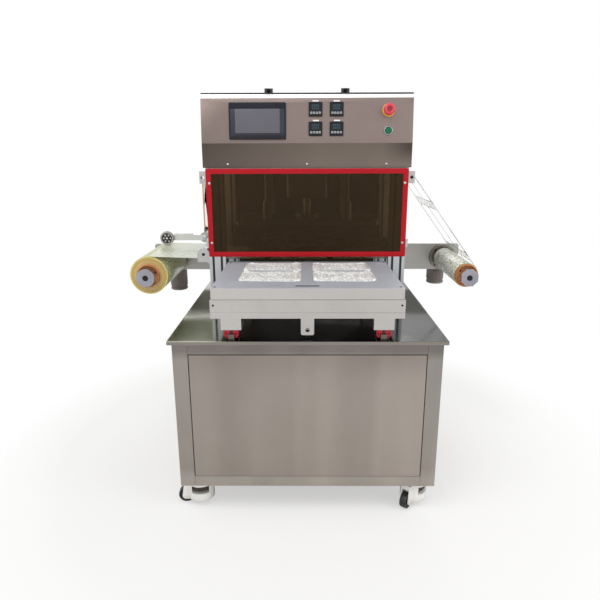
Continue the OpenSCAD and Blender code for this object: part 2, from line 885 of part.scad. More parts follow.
// Square cylinder body with a bore for the piston and a neck for the rod
module press_cylinder() {
    chamber_z0 = press_cyl_z0 + press_cap_t;
    chamber_z1 = chamber_z0 + press_stroke + press_piston_t + piston_top_gap;
    half = press_cyl_w / 2;
    color("#A9AFB4")
        difference() {
            translate([0, press_y, press_cyl_z0])
                linear_extrude(press_cyl_h) rounded_rect(press_cyl_w, press_cyl_w, tie_bolt_in);
            bar_z(press_bore, 0, press_y, chamber_z0, chamber_z1);
            bar_z(press_rod_d + 2 * run_gap, 0, press_y, press_cyl_z0 - over, chamber_z0 + over);
            for (sx = [-1, 1], sy = [-1, 1])
                bar_z(tie_bolt_d, sx * (half - tie_bolt_in), press_y + sy * (half - tie_bolt_in),
                    press_cyl_z0 - over, press_cyl_z0 + tie_bolt_d / 2);
            for (z = [press_cyl_z0 + press_cap_t / 2, post_z1 - press_cap_t / 2])
                bar_y(port_d, 0, z, press_y - half - over, press_y - half + port_d);
        }
}

module press_rod() {
    piston_z0 = press_cyl_z0 + press_cap_t + press_stroke + piston_top_gap / 2;
    color("#D2D4D6") {
        bar_z(press_foot_d, 0, press_y, plate_z1, plate_z1 + press_foot_t);
        bar_z(press_rod_d, 0, press_y, plate_z1, piston_z0 + press_piston_t);
        bar_z(press_bore - 2 * piston_gap, 0, press_y, piston_z0, piston_z0 + press_piston_t);
    }
}

module press_plate() {
    color("#8F9498")
        difference() {
            union() {
                translate([0, press_y, heater_z1])
                    linear_extrude(press_plate_t)
                        rounded_rect(die_w - 2 * heater_inset, die_d - 2 * heater_inset, heater_inset);
                for (p = GUIDES) bar_z(bush_d, p[0], p[1], heater_z1, heater_z1 + bush_l);
            }
            for (p = GUIDES)
                bar_z(guide_d + 2 * run_gap, p[0], p[1], heater_z1 - over, heater_z1 + bush_l + over);
        }
}

module heater_block() {
    color("#7C7A76")
        difference() {
            translate([0, press_y, die_z1])
                linear_extrude(heater_t)
                    rounded_rect(die_w - heater_inset, die_d - heater_inset, heater_inset / 2);
            for (k = [0 : heater_holes - 1])
                bar_y(heater_hole_d, (k - (heater_holes - 1) / 2) * die_w / (heater_holes + 1),
                    die_z1 + heater_t / 2, press_y - die_d / 2 - over, press_y - die_d / 4);
        }
}

// The sealing die, with a rim that presses each tray's flange
module sealing_die() {
    color("#A6A29C") {
        translate([0, press_y, die_z0 + rim_h])
            linear_extrude(die_h) rounded_rect(die_w, die_d, heater_inset / 2);
        for (p = TRAY_PLACES)
            translate([p[0], p[1] + drawer_stroke, die_z0])
                linear_extrude(rim_h + 1)
                    difference() {
                        rounded_rect(tray_l, tray_w, pocket_r);
                        rounded_rect(tray_l - 2 * rim_t, tray_w - 2 * rim_t, pocket_r - rim_t);
                    }
    }
}

GUARD_SCREWS = [
    for (sx = [-1, 1], z = [guard_z0 + guard_screw_low, guard_z1 - guard_screw_high])
        [sx * guard_screw_x, z],
];

REAR_SCREWS = [
    for (sx = [-1, 1], z = [shaft_z - bracket_low + bracket_h + rear_screw_low, guard_z1 - guard_screw_high])
        [sx * (post_x - slot_pitch / 2), z],
];

// The tinted guard behind the press, wide over the roll brackets and narrow between them
module rear_guard() {
    inner = post_x - post_w / 2;
    split = shaft_z - bracket_low + bracket_h + weld_gap * 10;
    difference() {
        along_y(frame_y1, frame_y1 + guard_t)
            polygon([
                [-inner + 1, rear_guard_z0], [inner - 1, rear_guard_z0], [inner - 1, split],
                [inner + rear_guard_in, split], [inner + rear_guard_in, guard_z1],
                [-inner - rear_guard_in, guard_z1], [-inner - rear_guard_in, split], [-inner + 1, split],
            ]);
        for (p = REAR_SCREWS) bar_y(screw_d, p[0], p[1], frame_y1 - over, frame_y1 + guard_t + over);
    }
}

// The tinted front guard, the clear one on the left side and the tinted one behind the press
module guard_window() {
    side_x = -post_out - block_w / 2;
    color("#3A3228") {
        difference() {
            along_y(guard_y0, guard_y1)
                translate([0, (guard_z0 + guard_z1) / 2]) rounded_rect(guard_w, guard_h, guard_r);
            for (p = GUARD_SCREWS) bar_y(screw_d, p[0], p[1], guard_y0 - over, guard_y1 + over);
        }
        block([side_x - side_guard_t / 2, frame_y0, side_guard_z0],
            [side_x + side_guard_t / 2, frame_y1, upper_z - block_h / 2]);
        rear_guard();
    }
}

module guard_border() {
    color("#B01E2C")
        difference() {
            along_y(guard_y0 - border_t, guard_y0)
                translate([0, (guard_z0 + guard_z1) / 2]) rounded_rect(guard_w, guard_h, guard_r);
            along_y(guard_y0 - border_t - over, guard_y0 + over)
                translate([0, (guard_z0 + guard_z1) / 2])
                    rounded_rect(guard_w - 2 * guard_border_w, guard_h - 2 * guard_border_w, guard_r / 3);
            for (p = GUARD_SCREWS)
                bar_y(screw_d, p[0], p[1], guard_y0 - border_t - over, guard_y0 + over);
        }
}

// A button-head screw along +Y with its head's face at y0
module screw_y(x, z, y0, length) {
    bar_y(screw_head_d, x, z, y0, y0 + screw_head_t);
    bar_y(screw_d - 1, x, z, y0, y0 + screw_head_t + length);
}

module fasteners() {
    head_y = guard_y0 - border_t - screw_head_t;
    color("#C9CBCD") {
        for (p = GUARD_SCREWS) {
            screw_y(p[0], p[1], head_y, guard_t + border_t + guard_stand);
            bar_y(spacer_d, p[0], p[1], guard_y1, frame_y0);
        }
        for (x = [-skirt_screw_x, 0, skirt_screw_x])
            screw_y(x, box_z0 + skirt_screw_up, box_y0 - screw_head_t, box_t + screw_d / 2);
        for (p = REAR_SCREWS) {
            bar_y(screw_head_d, p[0], p[1], frame_y1 + guard_t, frame_y1 + guard_t + screw_head_t);
            bar_y(screw_d - 1, p[0], p[1], frame_y1 - slot_lip, frame_y1 + guard_t + screw_head_t);
        }
    }
}

BRACKET_SIDES = [-1, 1];

module roll_brackets() {
    z0 = shaft_z - bracket_low;
    inner = post_x - post_w / 2;
    color("#A9A9A6")
        for (s = BRACKET_SIDES)
            difference() {
                along_y(frame_y1, frame_y1 + bracket_t)
                    translate([s * (reach_x + inner) / 2, z0 + bracket_h / 2])
                        rounded_rect(reach_x - inner, bracket_h, bracket_r);
                bar_y(shaft_d + 2 * bracket_t, s > 0 ? take_x : -supply_x, shaft_z,
                    frame_y1 - over, frame_y1 + bracket_t + over);
            }
}

// A bearing flange on a roll bracket, with the shaft's bore
module bearing_flange(x) {
    y0 = frame_y1 - flange_t;
    difference() {
        union() {
            bar_y(flange_d, x, shaft_z, y0, frame_y1);
            bar_y(flange_hub_d, x, shaft_z, y0 - flange_hub_l, frame_y1);
        }
        bar_y(shaft_d + 2 * run_gap, x, shaft_z, y0 - flange_hub_l - over, frame_y1 + over);
        for (a = [45 : 90 : 315])
            translate([flange_bolt_pcd / 2 * cos(a), 0, flange_bolt_pcd / 2 * sin(a)])
                bar_y(flange_bolt_d, x, shaft_z, y0 - over, frame_y1 + over);
    }
}

// The plate at one end of the entrance roller, with a foot on the post's side
module roller_plate(y0, y1, foot_y0, foot_y1) {
    low = roller_z - roller_plate_h + roller_plate_w / 2;
    difference() {
        union() {
            along_y(y0, y1) {
                translate([-entrance_x, roller_z]) circle(d = roller_plate_w);
                translate([-entrance_x - roller_plate_w / 2, low])
                    square([entrance_x + roller_plate_w / 2 - post_out, roller_z - low]);
            }
            block([-post_out - roller_plate_flange, foot_y0, low], [-post_out, foot_y1, roller_z - tie_t]);
        }
        bar_y(roller_shaft_d + 2 * run_gap, -entrance_x, roller_z, y0 - over, y1 + over);
    }
}

// A block on a post's side that holds the upper roller's journal
module upper_block(s, y0) {
    difference() {
        block([s * (post_out + block_w / 2) - block_w / 2, y0, upper_z - block_h / 2],
            [s * (post_out + block_w / 2) + block_w / 2, y0 + post_t, upper_z + block_h / 2]);
        bar_y(roller_shaft_d + 2 * run_gap, s * upper_x, upper_z, y0 - over, y0 + post_t + over);
    }
}

arm_z = shaft_z + supply_d / 2 + 2 * seat_gap + film_t + arm_wheel_d / 2;
arm_y0 = arm_wheel_y + arm_wheel_w + arm_gap;
arm_bracket_y0 = arm_y0 + arm_t + arm_gap;

// The bracket on the tie bar that holds the measuring arm's pin
module arm_bracket() {
    y1 = arm_bracket_y0 + arm_t;
    difference() {
        union() {
            along_y(arm_bracket_y0, y1) {
                translate([-arm_pivot_x, arm_z]) circle(d = 2 * arm_h);
                translate([-arm_pivot_x, arm_z]) square([arm_pivot_x - post_out - tie_t, arm_h]);
            }
            block([-post_out - 2 * tie_t, y1 - arm_t, tie_z0], [-post_out - tie_t, y1 + tie_h, arm_z + arm_h]);
        }
        bar_y(arm_pin_d + 2 * run_gap, -arm_pivot_x, arm_z, arm_bracket_y0 - over, y1 + over);
    }
}

module bearing_housings() {
    color("#8E8C88") {
        bearing_flange(-supply_x);
        bearing_flange(take_x);
        roller_plate(post_in_y0 - roller_plate_t, post_in_y0, frame_y0, post_in_y0);
        roller_plate(post_in_y1, post_in_y1 + roller_plate_t, post_in_y1, frame_y1);
        for (s = [-1, 1], y0 = [frame_y0, post_in_y1]) upper_block(s, y0);
        arm_bracket();
    }
}

// A worm gearbox behind the bracket with its motor hanging below
module gearmotor(x, s, motor_z0) {
    y0 = frame_y1 + bracket_t;
    box_z = shaft_z - gearbox_h / 2;
    motor_x = x - s * motor_shift;
    difference() {
        union() {
            translate([x, 0, shaft_z])
                along_y(y0, y0 + gearbox_d) rounded_rect(gearbox_w, gearbox_h, bracket_r);
            translate([motor_x, y0 + motor_d / 2 + 1, 0]) {
                bar_z(motor_d - motor_cap_t, 0, 0, motor_z0, box_z + over);
                bar_z(motor_d, 0, 0, motor_z0, motor_z0 + motor_cap_t);
                bar_z(motor_d, 0, 0, motor_z0 + 2 * motor_cap_t, box_z - motor_cap_t / 2);
            }
        }
        bar_y(shaft_d + 2 * run_gap, x, shaft_z, y0 - over, y0 + gearbox_d * 3 / 4);
    }
}

module winder_gearmotors() {
    color("#55524E") {
        gearmotor(-supply_x, -1, supply_motor_z);
        gearmotor(take_x, 1, take_motor_z);
    }
}

// A winding shaft with the two chucks that carry a core
module winding_shaft(x) {
    y_end = frame_y1 + bracket_t + gearbox_d / 2;
    bar_y(shaft_d, x, shaft_z, film_y0 - shaft_front + disc_t, y_end);
    for (y0 = [film_y0 + chuck_in, film_y1 - chuck_in - chuck_l])
        bar_y(core_bore - 2 * seat_gap, x, shaft_z, y0, y0 + chuck_l);
}

module supply_shaft() {
    y0 = film_y0 - shaft_front;
    color("#B9B7BC")
        difference() {
            union() {
                winding_shaft(-supply_x);
                bar_y(disc_d, -supply_x, shaft_z, y0, y0 + disc_t);
            }
            bar_y(disc_hole_d, -supply_x, shaft_z, y0 - over, y0 + disc_hole_depth);
        }
}

module take_up_shaft() {
    y0 = film_y0 - shaft_front;
    color("#A7A8AA")
        difference() {
            union() {
                winding_shaft(take_x);
                along_y(y0, y0 + disc_t)
                    translate([take_x, shaft_z]) rotate(22.5) circle(d = plate_af / cos(22.5), $fn = 8);
            }
            bar_y(disc_hole_d, take_x, shaft_z, y0 - over, y0 + disc_hole_depth);
        }
}

// Film wound on a core: the core and the winding are two solids
module wound_film(x, d) {
    difference() {
        bar_y(core_d, x, shaft_z, film_y0 - wall_t, film_y1);
        bar_y(core_bore, x, shaft_z, film_y0 - wall_t - over, film_y1 + over);
    }
    difference() {
        bar_y(d, x, shaft_z, film_y0, film_y1);
        bar_y(core_d + 2 * wind_gap, x, shaft_z, film_y0 - over, film_y1 + over);
    }
}

module supply_roll() {
    color("#C8AA64") wound_film(-supply_x, supply_d);
}

module take_up_roll() {
    color("#DDDCB8") wound_film(take_x, take_d);
}

// A film roller with thinner journals at its ends
module film_roller(x, z, r, y0, y1) {
    bar_y(2 * r, x, z, film_y0, film_y1);
    bar_y(roller_shaft_d, x, z, y0, y1);
}

module entrance_roller() {
    color("#B8BABC")
        film_roller(-entrance_x, roller_z, roller_r, post_in_y0 - roller_plate_t, post_in_y1 + roller_plate_t);
}

module exit_roller() {
    color("#B8BABC")
        film_roller(exit_x, roller_z, roller_r, post_in_y0 + seat_gap, post_in_y1 - seat_gap);
}

module upper_roller() {
    color("#B8BABC") film_roller(upper_x, upper_z, upper_r, frame_y0, frame_y1);
}

// A straight stretch of film between two points of its middle line, short of both by half the gap at a bend
module film_strip(p, q) {
    d = q - p;
    translate(p) rotate(atan2(d[1], d[0]))
        translate([bend_gap / 2, -film_t / 2]) square([norm(d) - bend_gap, film_t]);
}

// A stretch of film bent round a centre, from angle a0 up to angle a1
module film_arc(c, r, a0, a1) {
    steps = 6;
    translate(c)
        intersection() {
            difference() {
                circle(r + film_t / 2);
                circle(r - film_t / 2);
            }
            polygon(concat([[0, 0]], [
                for (k = [0 : steps]) 2 * r * [cos(a0 + k * (a1 - a0) / steps), sin(a0 + k * (a1 - a0) / steps)],
            ]));
        }
}

// The film's middle line: over the supply roll, under two rollers, over the third and down to the take-up roll
film_mid = film_z + film_t / 2;
exit_c = [exit_x, roller_z];
upper_c = [upper_x, upper_z];
take_c = [take_x, shaft_z];
exit_r = roller_r + roller_gap + film_t / 2;
top_r = upper_r + roller_gap + film_t / 2;
last_r = take_d / 2 + take_film_gap + film_t / 2;
rise = upper_c - exit_c;
rise_a = atan2(rise[1], rise[0]) + asin((exit_r + top_r) / norm(rise));
fall = take_c - upper_c;
fall_a = atan2(fall[1], fall[0]) + asin((last_r - top_r) / norm(fall));
wrap_gap_a = 1.5;
bend_gap = 0.3;

module film() {
    supply_top = shaft_z + supply_d / 2 + seat_gap + film_t / 2;
    color("#E4EADF")
        along_y(film_y0, film_y1) {
            film_strip([-supply_x, supply_top], [-entrance_x, film_mid]);
            film_strip([-entrance_x, film_mid], [exit_x, film_mid]);
            film_arc(exit_c, exit_r, -90 + wrap_gap_a, rise_a - 90);
            film_strip(exit_c + exit_r * [sin(rise_a), -cos(rise_a)],
                upper_c + top_r * [-sin(rise_a), cos(rise_a)]);
            film_arc(upper_c, top_r, fall_a + 90, rise_a + 90 - wrap_gap_a);
            film_strip(upper_c + top_r * [-sin(fall_a), cos(fall_a)],
                take_c + last_r * [-sin(fall_a), cos(fall_a)]);
        }
}

// The measuring arm, behind its wheel, with the pin it turns on and the wheel's axle
module measuring_arm() {
    y1 = arm_y0 + arm_t;
    color("#B6B6B2") {
        along_y(arm_y0, y1) {
            translate([-arm_wheel_x, arm_z]) circle(d = arm_h);
            translate([-arm_pivot_x, arm_z]) circle(d = arm_h);
            translate([-arm_wheel_x, arm_z - arm_h / 2]) square([arm_wheel_x - arm_pivot_x, arm_h]);
            translate([-arm_wheel_x + arm_wheel_d / 2, arm_z])
                square([(arm_wheel_x - arm_pivot_x) / 2, arm_h / 2 + arm_lip]);
        }
        bar_y(arm_pin_d, -arm_pivot_x, arm_z, arm_y0 - arm_gap * 2, arm_bracket_y0 + arm_t);
        bar_y(arm_axle_d, -arm_wheel_x, arm_z, arm_wheel_y, y1);
    }
}

module measuring_wheel() {
    color("#1C1C1E")
        difference() {
            bar_y(arm_wheel_d, -arm_wheel_x, arm_z, arm_wheel_y, arm_wheel_y + arm_wheel_w);
            bar_y(arm_axle_d + 2 * run_gap, -arm_wheel_x, arm_z,
                arm_wheel_y - over, arm_wheel_y + arm_wheel_w + over);
            for (a = [0 : 360 / arm_wheel_holes : 359])
                translate([arm_wheel_hole_pcd / 2 * cos(a), 0, arm_wheel_hole_pcd / 2 * sin(a)])
                    bar_y(arm_wheel_hole_d, -arm_wheel_x, arm_z,
                        arm_wheel_y - over, arm_wheel_y + arm_wheel_w + over);
        }
}

// The control box's side outline, pulled in by a wall
module box_outline(t) {
    y0 = box_y0 + t;
    polygon([
        [y0, box_z0 + t], [y0, bend_z], [y0 + panel_lean, panel_z1],
        [lid_y0 + t, lid_seat_z - t], [box_y1 - t, lid_seat_z - t], [box_y1 - t, box_z0 + t],
    ]);
}

module control_box() {
    color("#968880")
        difference() {
            along_x(box_w) box_outline(0);
            along_x(box_w - 2 * box_t) box_outline(box_t);
            block([-box_w / 2 + box_flange, lid_y0 + box_flange, lid_seat_z - over],
                [box_w / 2 - box_flange, box_y1 - box_flange, lid_seat_z + over]);
            on_panel(screen_x, screen_s)
                block([-screen_w / 2 + screen_body_inset - seat_gap, -over,
                    -screen_h / 2 + screen_body_inset - seat_gap],
                    [screen_w / 2 - screen_body_inset + seat_gap, over,
                    screen_h / 2 - screen_body_inset + seat_gap]);
            for (i = [-1, 1], k = [-1, 1])
                on_panel(gauge_x + i * gauge_pitch_x / 2, gauge_s + k * gauge_pitch_s / 2)
                    block([-gauge_body_w / 2 - seat_gap, -over, -gauge_body_w / 2 - seat_gap],
                        [gauge_body_w / 2 + seat_gap, over, gauge_body_w / 2 + seat_gap]);
            for (s = [stop_s, start_s])
                on_panel(button_x, s) bar_y(button_hole_d, 0, 0, -over, over);
            for (x = [-skirt_screw_x, 0, skirt_screw_x])
                bar_y(screw_d, x, box_z0 + skirt_screw_up, box_y0 - over, box_y0 + over);
        }
}

// The lid: a plate with a rim that drops inside the box's flange
module control_box_lid() {
    z0 = lid_seat_z + seat_gap;
    rim_x = box_w / 2 - box_flange - lid_rim_gap;
    rim_y0 = lid_y0 + box_flange + lid_rim_gap;
    rim_y1 = box_y1 - box_flange - lid_rim_gap;
    color("#8E8680") {
        block([-box_w / 2, lid_y0, z0], [box_w / 2, box_y1, z0 + lid_t]);
        difference() {
            block([-rim_x, rim_y0, z0 - lid_rim], [rim_x, rim_y1, z0 + 1]);
            block([-rim_x + lid_rim_t, rim_y0 + lid_rim_t, z0 - lid_rim - over],
                [rim_x - lid_rim_t, rim_y1 - lid_rim_t, z0]);
        }
        for (s = [-1, 1])
            translate([s * hinge_x, 0, 0])
                difference() {
                    union() {
                        bar_x(knuckle_d, lid_y0, hinge_z, -hinge_w * knuckle_share / 2, hinge_w * knuckle_share / 2);
                        block([-hinge_w * knuckle_share / 2, lid_y0, z0 + lid_t],
                            [hinge_w * knuckle_share / 2, lid_y0 + knuckle_d / 2, hinge_z]);
                        block([-hinge_w / 2, lid_y0 + knuckle_d / 2, z0 + lid_t],
                            [hinge_w / 2, lid_y0 + knuckle_d / 2 + hinge_leaf_l, z0 + lid_t + hinge_leaf_t]);
                    }
                    bar_x(hinge_pin_d + 2 * run_gap, lid_y0, hinge_z, -hinge_w, hinge_w);
                }
    }
}

// The fixed half of each lid hinge, on the box's bevel, with its pin
module lid_hinges() {
    bevel_a = atan2(bevel_lean, bevel_h);
    outer = hinge_w * knuckle_share / 2 + seat_gap;
    color("#202022")
        for (s = [-1, 1])
            translate([s * hinge_x, 0, 0]) {
                for (side = [-1, 1]) {
                    x0 = side > 0 ? outer : -hinge_w / 2;
                    x1 = side > 0 ? hinge_w / 2 : -outer;
                    bar_x(knuckle_d, lid_y0, hinge_z, x0, x1);
                    block([x0, lid_y0 - knuckle_d / 2, panel_z1 + bevel_h * 2 / 3],
                        [x1, lid_y0 - knuckle_d / 2 + hinge_leaf_t, hinge_z]);
                }
                bar_x(hinge_pin_d, lid_y0, hinge_z, -hinge_w / 2, hinge_w / 2);
                intersection() {
                    translate([-hinge_w / 2, box_y0 + panel_lean, panel_z1]) rotate([-bevel_a, 0, 0])
                        translate([0, -hinge_leaf_t, 0]) cube([hinge_w, hinge_leaf_t, 2 * bevel_h]);
                    block([-hinge_w / 2, box_y0 - bevel_h, panel_z1 + bevel_h * 2 / 3],
                        [hinge_w / 2, lid_y0, lid_seat_z]);
                }
            }
}

rack_y0 = press_y - 30;
rack_y1 = box_y1 - 40;
rack_w = 500;
module_gap = 14;
RACK = [[90, 70, 80], [150, 90, 62], [60, 80, 70], [60, 80, 70], [60, 80, 70]];
function run_to(i) = i == 0 ? 0 : run_to(i - 1) + RACK[i - 1][0] + module_gap;

// The rack inside the control box: a plate, a DIN rail, and the supply, controller and relays on it
module electrics() {
    z0 = box_z0 + box_t;
    rail_t = 8;
    color("#CFCFCB") {
        block([-rack_w / 2, rack_y0, z0], [rack_w / 2, rack_y1, z0 + box_t]);
        block([-rack_w / 2 + module_gap, (rack_y0 + rack_y1) / 2 - rail_t * 2, z0 + box_t - 1],
            [rack_w / 2 - module_gap, (rack_y0 + rack_y1) / 2 + rail_t * 2, z0 + box_t + rail_t]);
        for (i = [0 : len(RACK) - 1])
            translate([-rack_w / 2 + module_gap + run_to(i), (rack_y0 + rack_y1) / 2, z0 + box_t + rail_t - 1])
                block([0, -RACK[i][1] / 2, 0], [RACK[i][0], RACK[i][1] / 2, RACK[i][2]]);
    }
}

module touch_screen() {
    inset = screen_body_inset;
    color("#2A2E36")
        on_panel(screen_x, screen_s) {
            difference() {
                along_y(-screen_bezel, 0) rounded_rect(screen_w, screen_h, screen_r);
                block([-screen_view_w / 2, -screen_bezel - over, -screen_view_h / 2],
                    [screen_view_w / 2, -screen_bezel + screen_view_depth, screen_view_h / 2]);
            }
            block([-screen_w / 2 + inset, -1, -screen_h / 2 + inset],
                [screen_w / 2 - inset, screen_body_depth, screen_h / 2 - inset]);
        }
}

module temperature_controllers() {
    half = gauge_w / 2;
    body = gauge_body_w / 2;
    color("#17191C")
        for (i = [-1, 1], k = [-1, 1])
            on_panel(gauge_x + i * gauge_pitch_x / 2, gauge_s + k * gauge_pitch_s / 2)
                difference() {
                    union() {
                        along_y(-gauge_bezel, 0) rounded_rect(gauge_w, gauge_w, screen_r / 2);
                        block([-body, -1, -body], [body, gauge_body_depth, body]);
                    }
                    translate([0, 0, gauge_view_up])
                        block([-gauge_view_w / 2, -gauge_bezel - over, -gauge_view_h / 2],
                            [gauge_view_w / 2, -gauge_bezel + gauge_view_depth, gauge_view_h / 2]);
                }
}

// A push button's fixed part: ring, neck and contact block, bored for what slides in it
module button_base(s, d, t, bore) {
    on_panel(button_x, s)
        difference() {
            union() {
                bar_y(d, 0, 0, -t, 0);
                bar_y(button_neck_d, 0, 0, -1, box_t + seat_gap);
                block([-button_body_w / 2, box_t + seat_gap, -button_body_w / 2],
                    [button_body_w / 2, button_body_l, button_body_w / 2]);
            }
            bar_y(bore + 2 * run_gap, 0, 0, -t - over, button_body_l / 2);
        }
}

module button_bases() {
    color("#E0B828") button_base(stop_s, ring_d, ring_t, stop_stem_d);
    color("#C8CACC")
        difference() {
            button_base(start_s, start_ring_d, start_ring_t, stop_stem_d);
            on_panel(button_x, start_s)
                bar_y(start_cap_d + 2 * slide_gap, 0, 0, -start_ring_t - over, -1);
        }
}

module emergency_stop_head() {
    neck = stop_neck_d / 2;
    rim = stop_head_d / 2;
    y = ring_t + stop_stand;
    color("#D02030")
        on_panel(button_x, stop_s) {
            rotate([90, 0, 0])
                rotate_extrude()
                    polygon([
                        [0, ring_t + stop_travel + 1], [neck, ring_t + stop_travel + 1], [neck, y],
                        [rim - 1, y], [rim, y + 2], [rim, y + stop_head_t / 2], [rim * 0.86, y + stop_head_t * 0.85],
                        [rim * 0.5, y + stop_head_t], [0, y + stop_head_t],
                    ]);
            bar_y(stop_stem_d, 0, 0, -ring_t - stop_travel - 2, button_body_l / 2 - stop_travel - 1);
        }
}

module start_button_cap() {
    color("#149048")
        on_panel(button_x, start_s) {
            bar_y(start_cap_d, 0, 0, -start_ring_t - start_cap_t + start_travel, -start_travel - 1 - seat_gap);
            bar_y(stop_stem_d, 0, 0, -start_ring_t, button_body_l / 2 - start_travel - 1);
        }
}

cabinet_frame();
cabinet_panels();
worktop();
caster_plates();
caster_body(0);  // caster_body_fl
caster_body(1);  // caster_body_fr
caster_body(2);  // caster_body_rl
caster_body(3);  // caster_body_rr
caster_wheel(0);  // caster_wheel_fl
caster_wheel(1);  // caster_wheel_fr
caster_wheel(2);  // caster_wheel_rl
caster_wheel(3);  // caster_wheel_rr
caster_thumb(0);  // caster_thumb_fl
caster_thumb(1);  // caster_thumb_fr
caster_thumb(2);  // caster_thumb_rl
caster_thumb(3);  // caster_thumb_rr
caster_foot(0);  // caster_foot_fl
caster_foot(1);  // caster_foot_fr
caster_foot(2);  // caster_foot_rl
caster_foot(3);  // caster_foot_rr
guide_rails();
rail_carriages();
drawer_base();
drawer_walls();
tray_mould();
trays();
drawer_cylinder();
drawer_rod();
press_posts();
crown_plate();
press_cylinder();
press_rod();
press_plate();
heater_block();
sealing_die();
guard_window();
guard_border();
fasteners();
roll_brackets();
bearing_housings();
winder_gearmotors();
supply_shaft();
supply_roll();
take_up_shaft();
take_up_roll();
entrance_roller();
exit_roller();
upper_roller();
film();
measuring_arm();
measuring_wheel();
control_box();
control_box_lid();
lid_hinges();
electrics();
touch_screen();
temperature_controllers();
button_bases();
emergency_stop_head();
start_button_cap();
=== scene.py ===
"""The looks of a drawer tray sealer, built round its packed solids.

Each operator makes one piece or one group of like pieces in metres, in the frame of the solids:
X to the right, Y to the back and Z up. Numbers in the pieces are millimetres.
"""

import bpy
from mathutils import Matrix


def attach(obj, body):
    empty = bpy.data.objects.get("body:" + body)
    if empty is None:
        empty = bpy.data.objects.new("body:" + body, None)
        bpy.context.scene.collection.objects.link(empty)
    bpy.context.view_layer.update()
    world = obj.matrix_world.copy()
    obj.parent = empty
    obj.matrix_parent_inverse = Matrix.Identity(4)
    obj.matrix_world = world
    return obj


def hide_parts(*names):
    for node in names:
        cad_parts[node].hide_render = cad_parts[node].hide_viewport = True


bl_info = {
    "name": "Tray sealer looks",
    "version": (1, 0, 0),
    "blender": (4, 5, 0),
    "location": "3D Viewport > Sidebar > Tray sealer",
    "description": "Builds the surfaces, finishes and studio of a drawer tray sealer",
    "category": "Object",
}

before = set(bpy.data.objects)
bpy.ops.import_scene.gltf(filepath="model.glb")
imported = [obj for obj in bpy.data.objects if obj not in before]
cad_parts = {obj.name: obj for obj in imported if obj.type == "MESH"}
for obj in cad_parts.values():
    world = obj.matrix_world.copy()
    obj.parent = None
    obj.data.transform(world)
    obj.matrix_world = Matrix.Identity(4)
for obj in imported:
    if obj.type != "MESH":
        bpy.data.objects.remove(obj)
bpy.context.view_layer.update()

import math

import bmesh
import bpy
import numpy as np
from bpy.props import FloatProperty, FloatVectorProperty, IntProperty, PointerProperty
from mathutils import Matrix, Vector

MM = 0.001
TURN = 2 * math.pi
TOP_Z = 595.0
PRESS_Y = 154.0
SHAFT_Z = 696.0
SUPPLY_X, TAKE_X = -590.0, 592.0
FILM_Y0, FILM_Y1, FILM_W = -11.0, 319.0, 330.0
ROLLER_Z, ROLLER_R, EXIT_X = 777.4, 16.5, 325.0
ARM_Z = 795.7
LEAN = math.atan2(15, 147)
BEND = (-46.0, 1169.0)
CASTER_X, CASTER_Y = 357.5, 382.0
POST_X, POST_YS = 325.0, (-29.0, 337.0)
START, BOTH = (True, False), (True, True)
CORNERS = {"fl": (-1, -1, 4), "fr": (1, -1, 52), "rl": (-1, 1, 30), "rr": (1, 1, -20)}


def tone(code, alpha=1.0):
    """The linear colour of a six-digit screen colour."""
    part = np.array([int(code[i : i + 2], 16) for i in (0, 2, 4)]) / 255
    linear = np.where(part <= 0.04045, part / 12.92, ((part + 0.055) / 1.055) ** 2.4)
    return (*(float(v) for v in linear), alpha)


def colour(name, text, code):
    """A colour that the user can change."""
    return FloatVectorProperty(
        name=name, description=text, subtype="COLOR", size=4, min=0, max=1, default=tone(code)
    )


def length(name, text, value, low, high):
    """A length in metres that the user can change."""
    return FloatProperty(
        name=name, description=text, unit="LENGTH", default=value, min=low, max=high, precision=4
    )


# ---- places ----


def place(x=0.0, y=0.0, z=0.0, out=(0, 0, 1), up=(0, 1, 0)):
    """A frame at a point in millimetres: its third axis is out, its second is up and its first is up x
    out."""
    out, up = np.array(out, float), np.array(up, float)
    out /= np.linalg.norm(out)
    side = np.cross(up, out)
    side /= np.linalg.norm(side)
    m = np.eye(4)
    m[:3, 0], m[:3, 1], m[:3, 2], m[:3, 3] = side, np.cross(out, side), out, (x, y, z)
    return m


def upright(x, y, z, out_x, out_y):
    """A frame at a point that faces along (out_x, out_y), with Z up."""
    return place(x, y, z, out=(out_x, out_y, 0), up=(0, 0, 1))


def front(x, y, z):
    """A frame at a point that faces the operator, with Z up."""
    return upright(x, y, z, 0, -1)


def on_panel(x, s):
    """A frame on the sloping panel, s up the slope from the bend."""
    out = np.array((0, -math.cos(LEAN), math.sin(LEAN)))
    up = np.array((0, math.sin(LEAN), math.cos(LEAN)))
    p = np.array((x, *BEND)) + up * s
    return place(*p, out=out, up=up)


def caster_place(corner):
    """The frame of one caster, its X axis away from the wheel."""
    sx, sy, turn = CORNERS[corner]
    a = math.radians(turn)
    m = np.eye(4)
    m[:2, 0], m[:2, 1] = (math.cos(a), math.sin(a)), (-math.sin(a), math.cos(a))
    m[:3, 3] = (sx * CASTER_X, sy * CASTER_Y, 0)
    return m


# ---- surfaces ----


def sheet_of(points, uv=None, slot=0, caps=(False, False)):
    """A patch from a grid of points, rows x columns x 3. The quads join neighbours on the grid, and a cap is
    one face over the first or last row."""
    rows, cols = points.shape[:2]
    i = np.arange(rows * cols).reshape(rows, cols)
    quads = np.stack((i[:-1, :-1], i[:-1, 1:], i[1:, 1:], i[1:, :-1]), -1).reshape(-1, 4)
    faces = quads.tolist()
    if caps[0]:
        faces.append(i[0, :-1][::-1].tolist())
    if caps[1]:
        faces.append(i[-1, :-1].tolist())
    flat_uv = None if uv is None else uv.reshape(-1, 2)
    return {"co": points.reshape(-1, 3), "faces": faces, "uv": flat_uv, "slot": slot}


